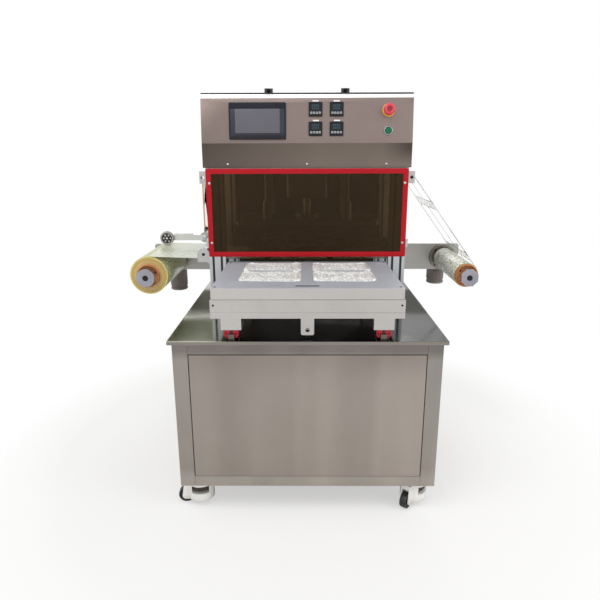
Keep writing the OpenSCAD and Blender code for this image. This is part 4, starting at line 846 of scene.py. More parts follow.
class SEALER_OT_casters(bpy.types.Operator):
    """Four levelling casters: cast bodies, wheels, thumbwheels and threaded feet"""

    bl_idname = "sealer.casters"
    bl_label = "Casters"

    def execute(self, context):
        s = context.scene.sealer_casters
        enamel = moulded(
            "Cast_enamel", s.body, (0.28, 0.42), 500, 5e-5, 0.1, 14.0, 0.05, coat=0.3,
            # darker beige towards the floor, in patches
            grime=(tone("9A9284"), 2, 0.0, 0.03),
        )
        tread = moulded("Wheel_nylon", s.tread, (0.4, 0.62), 700, 3e-5, 0.35, 30.0, 0.15)
        hub = metal("Wheel_hub", tone("8C8C8C"), (300, 300, 300), (0.3, 0.45), 0.1, 40.0)
        brown = moulded("Thumbwheel_plastic", s.thumb, (0.38, 0.5), 900, 3e-5, 0.15, 30.0, 0.12)
        rubber = moulded("Pad_rubber", tone("2B2927"), (0.6, 0.8), 600, 6e-5, 0.4, 30.0, 0.12)
        screw = metal("Threaded_stem", tone("A9A9A5"), (300, 300, 300), (0.25, 0.4), 0.08, 40.0)
        for key in CORNERS:
            dressed("caster_body_" + key, enamel, "caster_" + key, 1.6, 40)
            self.wheel(key, tread, hub)
            self.thumb(key, brown, s.flutes)
            self.foot(key, rubber, screw, s.pitch / MM)
        return {"FINISHED"}

    def wheel(self, key, tread, hub):
        """Turned tyre with round shoulders and a recessed web, on a ribbed hub."""
        m = caster_place(key) @ front(-50, 0, 26)
        half = filleted(
            [(4.05, 0), (4.05, 11), (7.5, 11), (7.5, 8), (19.5, 8), (20.5, 11), (26, 11), (26, 0)], 1.6
        )
        other = half[::-1] * (1, -1)
        tyre = turned(np.vstack((half, other[1:])), m, 56)
        spokes = []
        for k in range(6):
            a = k * TURN / 6
            c, d = math.cos(a), math.sin(a)
            for side in (1, -1):
                rib = np.array(
                    [(r, w, z) for r, w in ((7.6, 1.1), (19.6, 0.9)) for z in (7.6, 9.4) for w in (-w, w)]
                )
                p = np.stack(
                    (rib[:, 0] * c - rib[:, 1] * d, rib[:, 0] * d + rib[:, 1] * c, side * rib[:, 2]), -1
                )
                faces = [[0, 1, 3, 2], [4, 6, 7, 5], [0, 4, 5, 1], [2, 3, 7, 6], [0, 2, 6, 4], [1, 5, 7, 3]]
                spokes.append({"co": moved(p, m), "faces": faces, "uv": None, "slot": 0})
        caps = []
        for side in (1, -1):
            face = m @ place(0, 0, side * 11.0, out=(0, 0, side))
            caps.append(turned([(7.0, 0), (7.0, 0.35), (6.6, 0.6), (4.1, 0.6), (4.1, 0)], face, 32, slot=1))
        build(
            "wheel_tyre_" + key, [tyre, *spokes, *caps], [tread, hub], "wheel_" + key,
            ("caster_wheel_" + key,),
        )

    def thumb(self, key, brown, flutes):
        """Turned disc whose rim is cut by flutes: r - d (1 - |sin(n u / 2)|^0.6)."""
        m = caster_place(key)
        rows = filleted(
            [
                (7.06, 53.2), (30, 53.2), (30, 53.9), (37.9, 53.9), (37.9, 70.8), (30, 70.8), (30, 71.4),
                (7.06, 71.4), (7.06, 53.2),
            ],
            0.7, 2,
        )
        disc = turned(rows, m, 192, flutes=(flutes, 2.3, 0.6))
        build("thumbwheel_" + key, [disc], [brown], "thumb_" + key, ("caster_thumb_" + key,))

    def foot(self, key, rubber, screw, pitch):
        """Rubber pad with a bead, and a stem with a helical thread: r = R - d + d tri(z / p - u / 2 pi),
        fading at both ends."""
        sx, sy, _ = CORNERS[key]
        m = place(sx * CASTER_X, sy * CASTER_Y)
        pad = filleted(
            [(0.001, 14), (21.0, 14), (21.4, 17), (20.2, 18.4), (21.4, 20), (21.0, 26), (7, 26), (0.001, 26)],
            0.8, 3,
        )
        z = np.linspace(25.5, 81.8, 240)[:, None]
        u = circle(28)[None, :]
        saw = np.abs(((z / pitch - u / TURN) % 1.0) * 2 - 1)
        fade = np.clip((z - 29) / 2, 0, 1) * np.clip((80.5 - z) / 2, 0, 1)
        r = 6.95 - 0.75 * fade * saw
        stem = sheet_of(moved(np.stack((r * np.cos(u), r * np.sin(u), z + 0 * u), -1), m), slot=1, caps=BOTH)
        build(
            "foot_pad_" + key, [turned(pad, m, 48), stem], [rubber, screw], "foot_" + key,
            ("caster_foot_" + key,),
        )


class SEALER_OT_guides(bpy.types.Operator):
    """Guide rails and their four carriages"""

    bl_idname = "sealer.guides"
    bl_label = "Guide rails"

    def execute(self, context):
        # painted shade: the rails' front end faces are darkened to a grey-brown
        ends = ((tone("6B635E"), 1, -0.447, 0.0012, 0.0006),)
        rail = metal("Guide_rail_steel", tone("A9ABAD"), (500, 8, 500), (0.2, 0.34), 0.06, 8.0, bands=ends)
        dressed("guide_rails", rail, "frame", 0.4)
        red = moulded("Red_end_caps", tone("B81F30"), (0.36, 0.48), 900, 2e-5, 0.05, 30.0, 0.1, specular=0.3)
        seal = black_nylon()
        steel = metal("Carriage_steel", tone("A4A8AC"), (500, 6, 500), (0.22, 0.36), 0.06, 10.0)
        outline = polygon(
            (-17, 4.6), (-10.8, 4.6), (-10.8, 18.3), (10.8, 18.3), (10.8, 4.6), (17, 4.6),
            (22, 11.5), (22, 27.2), (19.4, 30), (-19.4, 30), (-22, 27.2), (-22, 11.5),
        )
        groove = polygon(
            (-16.4, 5.2), (-11.0, 5.2), (-11.0, 18.6), (11.0, 18.6), (11.0, 5.2), (16.4, 5.2),
            (21.2, 11.9), (21.2, 26.9), (19, 29.2), (-19, 29.2), (-21.2, 26.9), (-21.2, 11.9),
        )
        patches = []
        for sx in (-229, 229):
            for y0 in (-440, -111):
                for near, far, shape, slot in (
                    (0, 7, outline, 0), (7, 8.2, groove, 1), (8.2, 65.8, outline, 2), (65.8, 67, groove, 1),
                    (67, 74, outline, 0),
                ):
                    m = front(sx, y0 + far, TOP_Z)
                    patches.append(layered(shape, slab(0, far - near, 0.8 if slot != 1 else 0.1), m, slot))
                for end, s in ((y0, -1), (y0 + 74, 1)):
                    for bx in (-16.2, 16.2):
                        m = upright(sx + bx, end - s * 0.4, TOP_Z + 19.5, 0, s)
                        patches.append(socket_head(m, 5.2, 1.3, 3, 18))
                    m = upright(sx, end - s * 1.0, TOP_Z + 24.4, 0, s)
                    patches.append(layered(rounded(9.5, 10.6, 1.2, 3), slab(0, 1.3, 0.3), m, 1))
                    m = upright(sx, end - s * 0.2, TOP_Z + 24.4, 0, s)
                    nipple = [(3.4, 0), (3.4, 1.0), (2.2, 2.0), (1.3, 2.4), (0.001, 2.0)]
                    patches.append(turned(nipple, m, 24, slot=1, caps=START))
        build(
            "carriage_blocks", patches, [red, seal, steel, dark_screw()], "drawer",
            ("rail_carriages",),
        )
        return {"FINISHED"}


class SEALER_OT_drawer(bpy.types.Operator):
    """Drawer plates, walls, mould and screws"""

    bl_idname = "sealer.drawer"
    bl_label = "Drawer"

    def execute(self, context):
        s = context.scene.sealer_metals
        e = s.edge / MM
        base = metal("Milled_aluminium", s.plate, (5, 5, 500), (0.34, 0.5), 0.05, 4.0)
        joints = ((tone("6F6B69"), 2, 0.7195, 0.0006, 0.0004), (tone("A09C99"), 2, 0.6794, 0.0004, 0.0004))
        walls = metal("Drawer_wall_aluminium", s.plate, (5, 5, 500), (0.34, 0.5), 0.05, 4.0, bands=joints)
        dressed("drawer_base", base, "drawer", e)
        dressed("drawer_walls", walls, "drawer", e)
        # painted reflection: the mould's top turns bluish as if mirroring the sky; its sides keep the plate's
        # grey
        tints = ((s.mould, 2, 0.7532, 0.7538),)
        mould = metal(
            "Anodised_mould", s.plate, (4, 400, 400), (0.5, 0.62), 0.04, 5.0, 0.03, tints=tints, metallic=0.35
        )
        dressed("tray_mould", mould, "drawer", e)
        spots = [front(x, -443.0, 702) for x in (-280, 280)]
        spots += [upright(sx * 290, y, 702, sx, 0) for sx in (-1, 1) for y in (-400, -238, -78)]
        screws = [socket_head(m, 6.4, 2.0) for m in spots]
        screws += [socket_head(place(x, y, 753.6), 8.5, 1.6) for y in (-425, -60) for x in (-276, 276)]
        build("drawer_screws", screws, [dark_screw()], "drawer")
        lining = moulded("Grip_lining", tone("26272A"), (0.5, 0.65), 900, 2e-5, 0.1, 20.0, 0.12, specular=0.3)
        wall, rim, brow, mouth = (
            rounded(w, h, h / 2 - 0.05, 8) for w, h in ((69.4, 5.4), (74, 10), (73, 9), (67.6, 3.8))
        )
        rows = (
            (wall, -2.8), (wall, 0.02), (rim, 0.02), (rim, 0.3), (brow, 0.45), (mouth, 0.2), (mouth, -2.4)
        )
        slot = stacked(rows, place(0, -413, 754), caps=BOTH)
        build("grip_lining", [slot], [lining], "drawer")
        return {"FINISHED"}


class SEALER_OT_trays(bpy.types.Operator):
    """Four sealed trays with crinkled foil lids"""

    bl_idname = "sealer.trays"
    bl_label = "Trays"

    def execute(self, context):
        s = context.scene.sealer_film
        foil = self.foil(s.tray)
        shell = moulded("Tray_wall", tone("DCDCD6"), (0.35, 0.5), 700, 2e-5, 0.1, 12.0, 0.04)
        rng = np.random.default_rng(11)
        patches = []
        for sx in (-1, 1):
            for y in (-289.5, -144.5):
                patches += self.tray(sx * 117.0, y, s.crinkle / MM, rng)
        build("tray_lids", patches, [foil, shell], "drawer", ("trays",), smooth=60)
        return {"FINISHED"}

    def foil(self, base):
        """White coated foil, crumpled: facets longer than wide with painted light and shade of their own,
        painted shade in the creases between them, and fine folds that tilt the normal."""
        net = Finish("Tray_foil")
        drift = net.noise(net.at, 30.0, 2.0, output="Color")
        bent = net.scaled(net.added(net.scaled(drift, (0.016, 0.03, 0.0)), net.at), (120.0, 34.0, 60.0))
        fold = net.remap(net.cells(bent, 1.0, feature="DISTANCE_TO_EDGE"), 0.02, 0.16)
        own = net.parts(net.cells(bent, 1.0, "Color"))[0]
        fine = net.noise(net.at, 260.0, 4.0, 0.6)
        # painted light and shade: each facet its own brightness; creases and fine speckles darkened
        col = net.mix(net.remap(own, 0.1, 0.4), shade(base, 0.8), base)
        col = net.mix(fold, shade(base, 0.66), col)
        col = net.mix(net.remap(fine, 0.36, 0.46, 0.2, 0), col, shade(base, 0.75))
        # painted shade: a grey line along the gap between the front and rear trays
        gap = abs(net.parts(net.at)[1] + 0.217)
        col = net.mix(net.remap(gap, 0.004, 0.0075, 0.9, 0), col, tone("8E9097"))
        return net.done(col, net.remap(fine, 0.3, 0.7, 0.28, 0.5), (fold + fine * 0.5, 0.6, 6e-4))

    def tray(self, x, y, crinkle, rng):
        """A lid of concentric copies of the flange outline, c(v) O(u), whose height adds creases: the sum of
        folded waves 1 - |sin(k.p + a)| in random directions, strongest near the flange, where pleats 0.5 +
        0.5 cos(n u) join. The wall is the pocket outline carried down to a rounded floor."""
        flange = rounded(196, 140, 18, 34)
        share = np.concatenate((np.linspace(1.0, 0.9, 7), np.linspace(0.885, 0.0005, 44)))[:, None]
        p = share[:, :, None] * flange[None]
        height = np.zeros(p.shape[:2])
        for _ in range(7):
            a, k = rng.uniform(0, TURN), rng.uniform(0.1, 0.42)
            wave = p[..., 0] * math.cos(a) * k + p[..., 1] * math.sin(a) * k + rng.uniform(0, TURN)
            bend = 0.9 * np.sin(p[..., 1] * 0.045 + rng.uniform(0, TURN))
            bend += 0.7 * np.sin(p[..., 0] * 0.06 + rng.uniform(0, TURN))
            height += 1 - np.abs(np.sin(wave + bend))
        height = height / 7
        u = np.linspace(0, TURN, p.shape[1])[None, :]
        pleat = (0.5 + 0.5 * np.cos(46 * u + 1.5 * np.sin(5 * u))) * np.exp(-(((share - 0.93) / 0.05) ** 2))
        rise = np.clip((1.0 - share) / 0.06, 0, 1)
        rise = rise * rise * (3 - 2 * rise)
        height = np.clip((height - 0.25) / 0.5, 0, 1)
        z = 755.5 + 0.7 * rise + crinkle * (1.15 * height * rise + 0.7 * pleat)
        ripple = 0.35 * np.cos(46 * u) * (share > 0.985)
        lid = np.dstack((p, np.minimum(z + ripple + 0 * u, 759.3)))
        lid[..., 0] += x
        lid[..., 1] += y
        rim = [(0.0, 755.5), (0.25, 754.7), (0.9, 754.12), (6.4, 754.12)]
        under = layered(flange, rim, place(x, y, 0), 1, capped=False)
        wall = rounded(184, 128, 16.5, 10)
        rows = filleted([(0.3, 754.3), (3.2, 715), (11.5, 713.2)], 4, 4)
        floor = layered(wall, rows, place(x, y, 0), 1, capped=False)
        bottom = layered(wall, [(11.5, 713.2), (11.6, 713.2)], place(x, y, 0), 1)
        return [sheet_of(lid), under, floor, bottom]


class SEALER_OT_drive(bpy.types.Operator):
    """Cylinder and rod that move the drawer"""

    bl_idname = "sealer.drive"
    bl_label = "Drawer drive"

    def execute(self, context):
        barrel = metal("Anodised_cylinder", tone("B9BEC2"), (500, 6, 500), (0.28, 0.42), 0.05, 6.0)
        dressed("drawer_cylinder", barrel, "frame", 0.8)
        dressed("drawer_rod", bright_steel(), "drawer", 0.4)
        patches = []
        for sx in (-16.5, 16.5):
            for sz in (-16.5, 16.5):
                m = front(sx, 408.0, 625 + sz)
                patches.append(pin(2.5, 0, 393.0, m))
                for y, out, high in ((-10.0, -1, 2.4), (433.0, 1, 4.0)):
                    patches.append(hex_head(upright(sx, y, 625 + sz, 0, out), 8, high, 1))
        build("cylinder_tie_rods", patches, [bright_steel(), zinc()], "frame")
        return {"FINISHED"}


class SEALER_OT_press(bpy.types.Operator):
    """Posts, crown, press cylinder, press plate, heater and die"""

    bl_idname = "sealer.press"
    bl_label = "Press"

    def execute(self, context):
        s = context.scene.sealer_metals
        e = s.edge / MM
        post = metal("Anodised_posts", s.post, (420, 420, 4), (0.3, 0.44), 0.04, 3.0)
        dressed("press_posts", post, "frame", 0.35)
        # painted shade: dark bars set in the posts' slots stand in for the shade inside them
        strips = []
        for sx in (-1, 1):
            for y in POST_YS:
                for x in (310, 340):
                    strips += [(sx * x, y + face * 12.9, 833.5, 4.05, 0.9, 237) for face in (-1, 1)]
                strips += [(sx * (POST_X + face * 27.9), y, 833.5, 0.9, 4.05, 237) for face in (-1, 1)]
        cover = moulded("Slot_cover_strip", tone("1C1F21"), (0.5, 0.65), 900, 2e-5, 0.15, 6.0, 0.15)
        build("post_slot_strips", [bars(strips, np.eye(4))], [cover], "frame")
        crown = metal("Crown_plate_aluminium", tone("A3A7AB"), (6, 300, 300), (0.32, 0.46), 0.06, 3.0)
        dressed("crown_plate", crown, "frame", e)
        cyl = metal("Press_cylinder_aluminium", tone("A9AFB4"), (300, 300, 6), (0.3, 0.42), 0.05, 5.0)
        dressed("press_cylinder", cyl, "frame", 1.2)
        dressed("press_rod", bright_steel(), "press", 0.6)
        dressed("press_plate", crown, "press", e)
        heat = metal(
            "Heater_block", tone("8A847C"), (6, 300, 300), (0.4, 0.6), 0.16, 7.0,
            tints=((tone("8F7A5E"), 2, 0.86, 0.84),),
        )
        dressed("heater_block", heat, "press", e)
        die = metal("Sealing_die", tone("A6A29C"), (6, 300, 300), (0.24, 0.4), 0.08, 6.0)
        dressed("sealing_die", die, "press", e)
        end = filleted([(5.8, -4), (5.8, 2.2), (3.2, 2.2), (3.2, 0.4), (0.001, 0.4)], 0.5, 2)
        ends = [turned(end, front((k - 2.5) * 548 / 7, 3.0, 858.8), 24, caps=START) for k in range(6)]
        brass = metal("Cartridge_brass", tone("B59A5C"), (200, 200, 200), (0.25, 0.4), 0.1, 50.0)
        build("heater_cartridges", ends, [brass], "press")
        bolts = []
        for sx in (-1, 1):
            for sy, y in ((1, -14.0), (-1, 322.0)):
                bolts.append(socket_head(place(sx * POST_X, y + sy * 15.5, 600.0), 10, 3.6))
                bolts.append(socket_head(upright(sx * POST_X, y + sy * 5.0, 613.0, 0, sy), 10, 3.6))
            for y in POST_YS:
                for z in (814.0, 830.0):
                    bolts.append(socket_head(upright(sx * 363, y, z, sx, 0), 9, 3.2))
        build("frame_screws", bolts, [dark_screw()], "frame")
        return {"FINISHED"}


class SEALER_OT_guard(bpy.types.Operator):
    """Tinted guard, its border and screws, and the clear side guard"""

    bl_idname = "sealer.guard"
    bl_label = "Guard"

    def execute(self, context):
        s = context.scene.sealer_guard
        zc = (776 + 1085) / 2
        rear = [(294, 757), (POST_X, 757), (POST_X, 1085)]
        rear = polygon((-294, 655), (294, 655), *rear, *((-x, z) for x, z in rear[::-1]))
        # painted shade: the rear guard's sheet takes the front tint darkened tenfold, so the press's inside
        # reads dark
        dark = shade(s.tint, 0.1)
        # painted light: an orange-brown front edge for the clear side sheet, the colour seen edge-on through
        # it
        edge_light = (tone("A8622F"), -0.0434, -0.0428)
        for name, sheet, finish, replaces in (
            (
                "guard_sheet",
                layered(rounded(704, 309, 6, 6), slab(0, 6, 0.6), front(0, -54, zc)),
                acrylic("Tinted_acrylic", s.tint, 0.03, 0.1, 1.12, weight=0.85),
                ("guard_window",),
            ),
            (
                "rear_guard_sheet",
                layered(rear, slab(0, 6, 0.5), front(0, 358, 0)),
                acrylic("Rear_tinted_acrylic", dark, 0.06, 0.1, 1.12),
                (),
            ),
            (
                "side_guard_sheet",
                layered(rounded(396, 173, 3, 3), slab(0, 5, 0.5), upright(-363.5, PRESS_Y, 946.5, -1, 0)),
                acrylic("Clear_acrylic", s.clear, 0.02, 0.5, 1.04, edge_light),
                (),
            ),
        ):
            build(name, [sheet], [finish], "frame", replaces)
        outer, inner = rounded(704, 309, 6, 8), rounded(668, 273, 3, 8)
        rows = [(0, 0.0), (0, 0.6), (0.03, 0.8), (0.97, 0.8), (1, 0.6), (1, 0.0), (0, 0.0)]
        border = ring(inner, outer, rows, front(0, -60, zc))
        red = moulded("Printed_border", s.border, (0.4, 0.5), 1500, 8e-6, 0.03, 3.0, 0.07, specular=0.2)
        build("guard_border_print", [border], [red], "frame", ("guard_border",))
        patches = []
        for x in (-340, 340):
            for z in (826, 1035):
                patches.append(socket_head(front(x, -60.8, z), 9, 3.4))
                rows = filleted([(3.1, 0), (7, 0), (7, 10), (3.1, 10), (3.1, 0)], 0.7, 3)
                patches.append(turned(rows, front(x, -44, z), 36))
                patches.append(pin(2.5, -16, 17, front(x, -44, z)))
        for x in (-310, 310):
            for z in (790, 1035):
                m = upright(x, 358, z, 0, 1)
                patches += [socket_head(m, 11, 4.0), pin(2.5, -14, 0.2, m)]
        for x in (-275, 0, 275):
            m = front(x, BEND[0], 1099)
            patches += [socket_head(m, 8, 2.6), pin(2.5, -5, 0.2, m)]
        build("guard_screws", patches, [zinc()], "frame", ("fasteners",))
        return {"FINISHED"}


def film_path():
    """The film's middle line in X and Z as points: over the supply roll, under two rollers, over the third
    and down to the take-up roll."""
    exit_c, upper_c = np.array((EXIT_X, ROLLER_Z)), np.array((366.0, 1054.0))
    take_c = np.array((TAKE_X, SHAFT_Z))
    exit_r, top_r, last_r = 17.1, 14.6, 45.6
    rise, fall = upper_c - exit_c, take_c - upper_c
    rise_a = math.atan2(rise[1], rise[0]) + math.asin((exit_r + top_r) / np.linalg.norm(rise))
    fall_a = math.atan2(fall[1], fall[0]) + math.asin((last_r - top_r) / np.linalg.norm(fall))

    def arc(c, r, a0, a1, n=14):
        a = np.linspace(a0, a1, n)[:, None]
        return c + r * np.hstack((np.cos(a), np.sin(a)))

    def line(p, q, n):
        t = np.linspace(0, 1, n)[:, None]
        return np.array(p) * (1 - t) + np.array(q) * t

    def normal(c, r, a):
        return c + r * np.array((-math.sin(a), math.cos(a)))

    first = line((SUPPLY_X, 767.6), (-380, 760.3), 40)
    middle = line((-380, 760.3), (EXIT_X, 760.3), 60)
    bend = arc(exit_c, exit_r, -TURN / 4, rise_a - TURN / 4)
    up = line(normal(exit_c, -exit_r, rise_a), normal(upper_c, top_r, rise_a), 40)
    over = arc(upper_c, top_r, rise_a + TURN / 4, fall_a + TURN / 4)
    down = line(normal(upper_c, top_r, fall_a), normal(take_c, last_r, fall_a), 60)
    return np.vstack([first, middle[1:], bend[1:], up[1:], over[1:], down[1:]])


class SEALER_OT_film(bpy.types.Operator):
    """Film from the supply roll through the press to the take-up roll"""

    bl_idname = "sealer.film"
    bl_label = "Film"

    def execute(self, context):
        s = context.scene.sealer_film
        path = film_path()
        step = np.diff(path, axis=0)
        run = np.concatenate(([0], np.cumsum(np.linalg.norm(step, axis=1))))
        way = np.gradient(path, axis=0)
        way /= np.linalg.norm(way, axis=1, keepdims=True)
        side = np.stack((-way[:, 1], way[:, 0]), -1)
        y = np.linspace(FILM_Y0, FILM_Y1, 34)
        slack = 0.35 * np.sin(run / 31.0)[:, None] * np.sin((y - FILM_Y0) / FILM_W * math.pi * 3)[None, :]
        slack *= ((path[:, 0] < -400) | (path[:, 0] > 372))[:, None]
        patches = []
        for lift in (0.3, -0.3):
            off = lift + slack
            x = path[:, :1] + side[:, :1] * off
            z = path[:, 1:] + side[:, 1:] * off
            p = np.stack((x, np.broadcast_to(y, x.shape), z), -1)
            along, across = (np.broadcast_to(v, x.shape) for v in (run[:, None], y - PRESS_Y))
            uv = np.stack((along, across), -1) * MM
            if lift < 0:
                p, uv = p[::-1], uv[::-1]
            patches.append(sheet_of(p, uv))
        first = run[np.argmin(np.abs(path[:, 0] - 274) + (path[:, 1] > 761) * 1e4)]
        build(
            "film_web", patches, [self.web(s, (first + 62) * MM)], "frame", ("film",), closed=False,
            smooth=60,
        )
        return {"FINISHED"}

    def web(self, s, first):
        """Printed film, cut into windows past the press: a window is |u - c| < 98, ||v| - 72.5| < 70 with
        round corners, 234 apart."""
        net = Finish("Printed_film")
        uv = net.out("TexCoord", "UV")
        motif = printed_motif(net, UV=uv, Pitch=s.motif)
        ink = motif["Print"]
        u, v, _ = net.parts(uv)
        after = u - first
        cell = net.math("FRACT", after / 0.234) * 0.234 - 0.117
        a = net.largest(abs(cell) - 0.08, 0.0)
        b = net.largest(abs(abs(v) - 0.0725) - 0.052, 0.0)
        far = net.root(a * a + b * b)
        cut = net.remap(after, 0.0, 0.0005)
        hole = net.remap(far, 0.0176, 0.018, 1, 0) * cut
        scorch = net.remap(far, 0.018, 0.0225, 1, 0) * cut
        mark_u = abs(net.math("FRACT", after / 0.234 + 0.12) - 0.04)
        mark = net.remap(mark_u, 0.045, 0.047, 1, 0) * net.remap(abs(v + 0.153), 0.0105, 0.011, 1, 0)
        soft = cloudy_tone(net, Vector=net.at, Scale=9.0)["Tone"]
        past = net.remap(after, 0.0, 0.002)
        edge = net.remap(abs(far - 0.0192), 0.0010, 0.0018, 1, 0)
        line = net.largest(edge, net.remap(abs(v), 0.1618, 0.1624)) * past
        leaf = net.remap(net.noise(uv, 78.0, 2.0), 0.6, 0.63) * past
        col = net.mix(soft, shade(s.base, 0.93), s.base)
        for share, paint in (
            (ink * 0.75, shade(s.ink, 1.25)),
            (motif["Dots"] * 0.6, tone("D9B85C")),
            (scorch * 0.35, tone("FFFFFF")),
            (line * 0.85, tone("4A4C4A")),
            (net.remap(u, 0.0, 0.1, 0.5, 0), net.mix(ink, tone("F1EDC6"), tone("D9DBA6"))),
            (leaf, tone("74786C")),
            (mark, tone("1A1C1A")),
        ):
            col = net.mix(share, col, paint)
        cover = net.mix(past, net.remap(ink, 0, 1, 0.78, 0.95), net.remap(ink, 0, 1, 0.18, 0.34))
        cover = net.largest(cover, mark, line, leaf * 0.75) * (1.0 - hole)
        folds = net.noise(net.scaled(net.at, (14, 3, 14)), 1.0, 3.0)
        return net.done(col, net.remap(soft, 0, 1, 0.16, 0.3), (folds, 0.3, 6e-4), Alpha=cover)


class SEALER_OT_rolls(bpy.types.Operator):
    """Supply and take-up rolls with their cores, shafts and end discs"""

    bl_idname = "sealer.rolls"
    bl_label = "Film rolls"

    def execute(self, context):
        s = context.scene.sealer_film
        ends = self.wound("Supply_roll_ends", s.roll_edge, s.roll_rim, SUPPLY_X, 0.071, 0.0042)
        side = self.printed("Supply_roll_print", s, tone("EFEBB8"), 0.5)
        take_ends = self.wound("Take_up_roll_ends", tone("C9C9A0"), tone("B9C08A"), TAKE_X, 0.045, 0.0025)
        take_side = self.printed("Take_up_roll_print", s, tone("FFFDE6"), 0.12)
        core = self.cardboard(s.core)
        grey = metal("Lock_disc", tone("9B99A2"), (90, 90, 90), (0.38, 0.54), 0.1, 20.0)
        chuck = moulded("Chuck_plastic", tone("C08C5C"), (0.4, 0.55), 800, 3e-5, 0.15, 20.0, 0.2)
        for name, x, radius, body, shaft, node, faces, flank in (
            ("supply", SUPPLY_X, 71.0, "supply", "supply_shaft", "supply_roll", ends, side),
            ("take_up", TAKE_X, 45.0, "take_up", "take_up_shaft", "take_up_roll", take_ends, take_side),
        ):
            m = front(x, FILM_Y1, SHAFT_Z)
            self.roll(name, m, radius, body, node, faces, flank, core)
            self.shaft(name, x, body, shaft, grey, chuck)
        return {"FINISHED"}

    def roll(self, name, m, radius, body, node, faces, flank, core):
        """Wound film: turned ends whose height h(r) is a running sum of small random steps, and a flank with
        its own UV. The core is a turned tube with a spiral seam."""
        rng = np.random.default_rng(5 if name == "supply" else 6)
        r = np.linspace(42.15, radius - 0.3, 34)
        step = np.cumsum(rng.normal(0, 0.09, len(r)))
        step = np.clip(step - step.mean(), -0.35, 0.35)
        near = np.column_stack((r, FILM_W - 0.4 + step))
        far = np.column_stack((r, 0.4 - step))
        near[0, 1], far[0, 1] = FILM_W - 0.6, 0.6
        low, high = far[-1, 1], near[-1, 1]
        side = [
            (radius - 0.3, low), (radius, low + 0.4), (radius, FILM_W / 2), (radius, high - 0.4),
            (radius - 0.3, high),
        ]
        tube = filleted([(38.0, 0), (42.0, 0), (42.0, 342), (38.0, 342), (38.0, 0)], 0.5, 2)
        patches = [
            turned(near, m, 96),
            turned(far[::-1], m, 96),
            turned(side, m, 96, slot=1, uv=True),
            turned([(42.15, 0.6), (42.15, FILM_W - 0.6)], m, 96),
            turned(tube, m, 72, slot=2),
        ]
        slot = "film_roll" if name == "supply" else "film_waste"
        build(name + "_winding", patches, [faces, flank, core], body, (node,), smooth=50)

    def shaft(self, name, x, body, node, grey, chuck):
        """Shaft, two expanding chucks with three keys each, and the end piece: a turned lock disc, or an
        octagonal plate whose corners come from r / cos(u mod 45 deg - 22.5 deg)."""
        m = front(x, 0, SHAFT_Z)
        steel = bright_steel()
        bar = filleted([(0.001, -390), (12.5, -390), (12.5, 53), (0.001, 53)], 1.0, 2)
        patches = [turned(bar, m, 36)]
        for y0 in (-3, 287):
            rows = filleted(
                [
                    (12.4, -y0 - 24), (36.5, -y0 - 24), (37.7, -y0 - 22.5), (37.7, -y0 - 1.5), (36.5, -y0),
                    (30, -y0), (28, -y0 - 2.5), (18, -y0 - 2.5), (17, -y0), (12.4, -y0),
                ],
                0.8, 2,
            )
            patches.append(turned(rows, m, 60, slot=1))
            for k in range(3):
                a = k * TURN / 3 + 0.4
                c, d = math.cos(a), math.sin(a)
                key = place(23 * c, 23 * d, -y0 - 2.6, up=(c, d, 0))
                patches.append(socket_head(m @ key, 7, 2.2, 3, 18))
        if name == "supply":
            rows = filleted([(12.4, 53), (33.5, 53), (33.5, 61), (10, 61), (10, 55), (0.001, 55)], 1.3, 4)
            patches.append(turned(rows, m, 64, slot=2))
        else:
            u = circle(8) + TURN / 16
            eight = np.stack((np.cos(u), np.sin(u)), -1) * 31 / math.cos(TURN / 16)
            patches.append(layered(eight, slab(53, 60.9, 1.0), m, 2))
        cup = filleted([(0.001, 61.15), (8.4, 61.15), (9.0, 61.5), (10.2, 61.5), (10.6, 60.4)], 0.3, 2)
        patches.append(turned(cup, m, 40, slot=3))
        build(name + "_arbor", patches, [steel, chuck, grey, dark_screw()], body, (node,))

    def wound(self, name, base, rim, x, radius, rim_w):
        """Ends of a film roll: hundreds of thin turns as rings, with streaks, mottling and a rim of another
        tone."""
        net = Finish(name)
        where = round_axis(net, Vector=net.at, Centre=(x * MM, 0.0, SHAFT_Z * MM))
        far = where["Radius"]
        rings = net.out("CombineXYZ", 0, {"X": far * 2600.0, "Y": where["Share"] * 3.0})
        lines = net.noise(rings, 1.0, 4.0, 0.7)
        wide = net.noise(net.out("CombineXYZ", 0, {"X": far * 260.0}), 1.0, 2.0)
        mottle = net.remap(net.noise(net.at, 150.0, 4.0, 0.7), 0.4, 0.62)
        col = net.mix(net.remap(lines, 0.3, 0.7), shade(base, 0.72), shade(base, 1.2))
        col = net.mix(mottle * 0.4, col, shade(base, 0.66))
        col = net.mix(net.remap(wide, 0.45, 0.6, 0, 0.5), col, tone("E9E2B4"))
        col = net.mix(net.remap(far, radius - rim_w, radius - rim_w + 0.0006), col, rim)
        return net.done(col, net.remap(lines, 0.3, 0.7, 0.3, 0.5), (lines, 0.5, 2e-4))

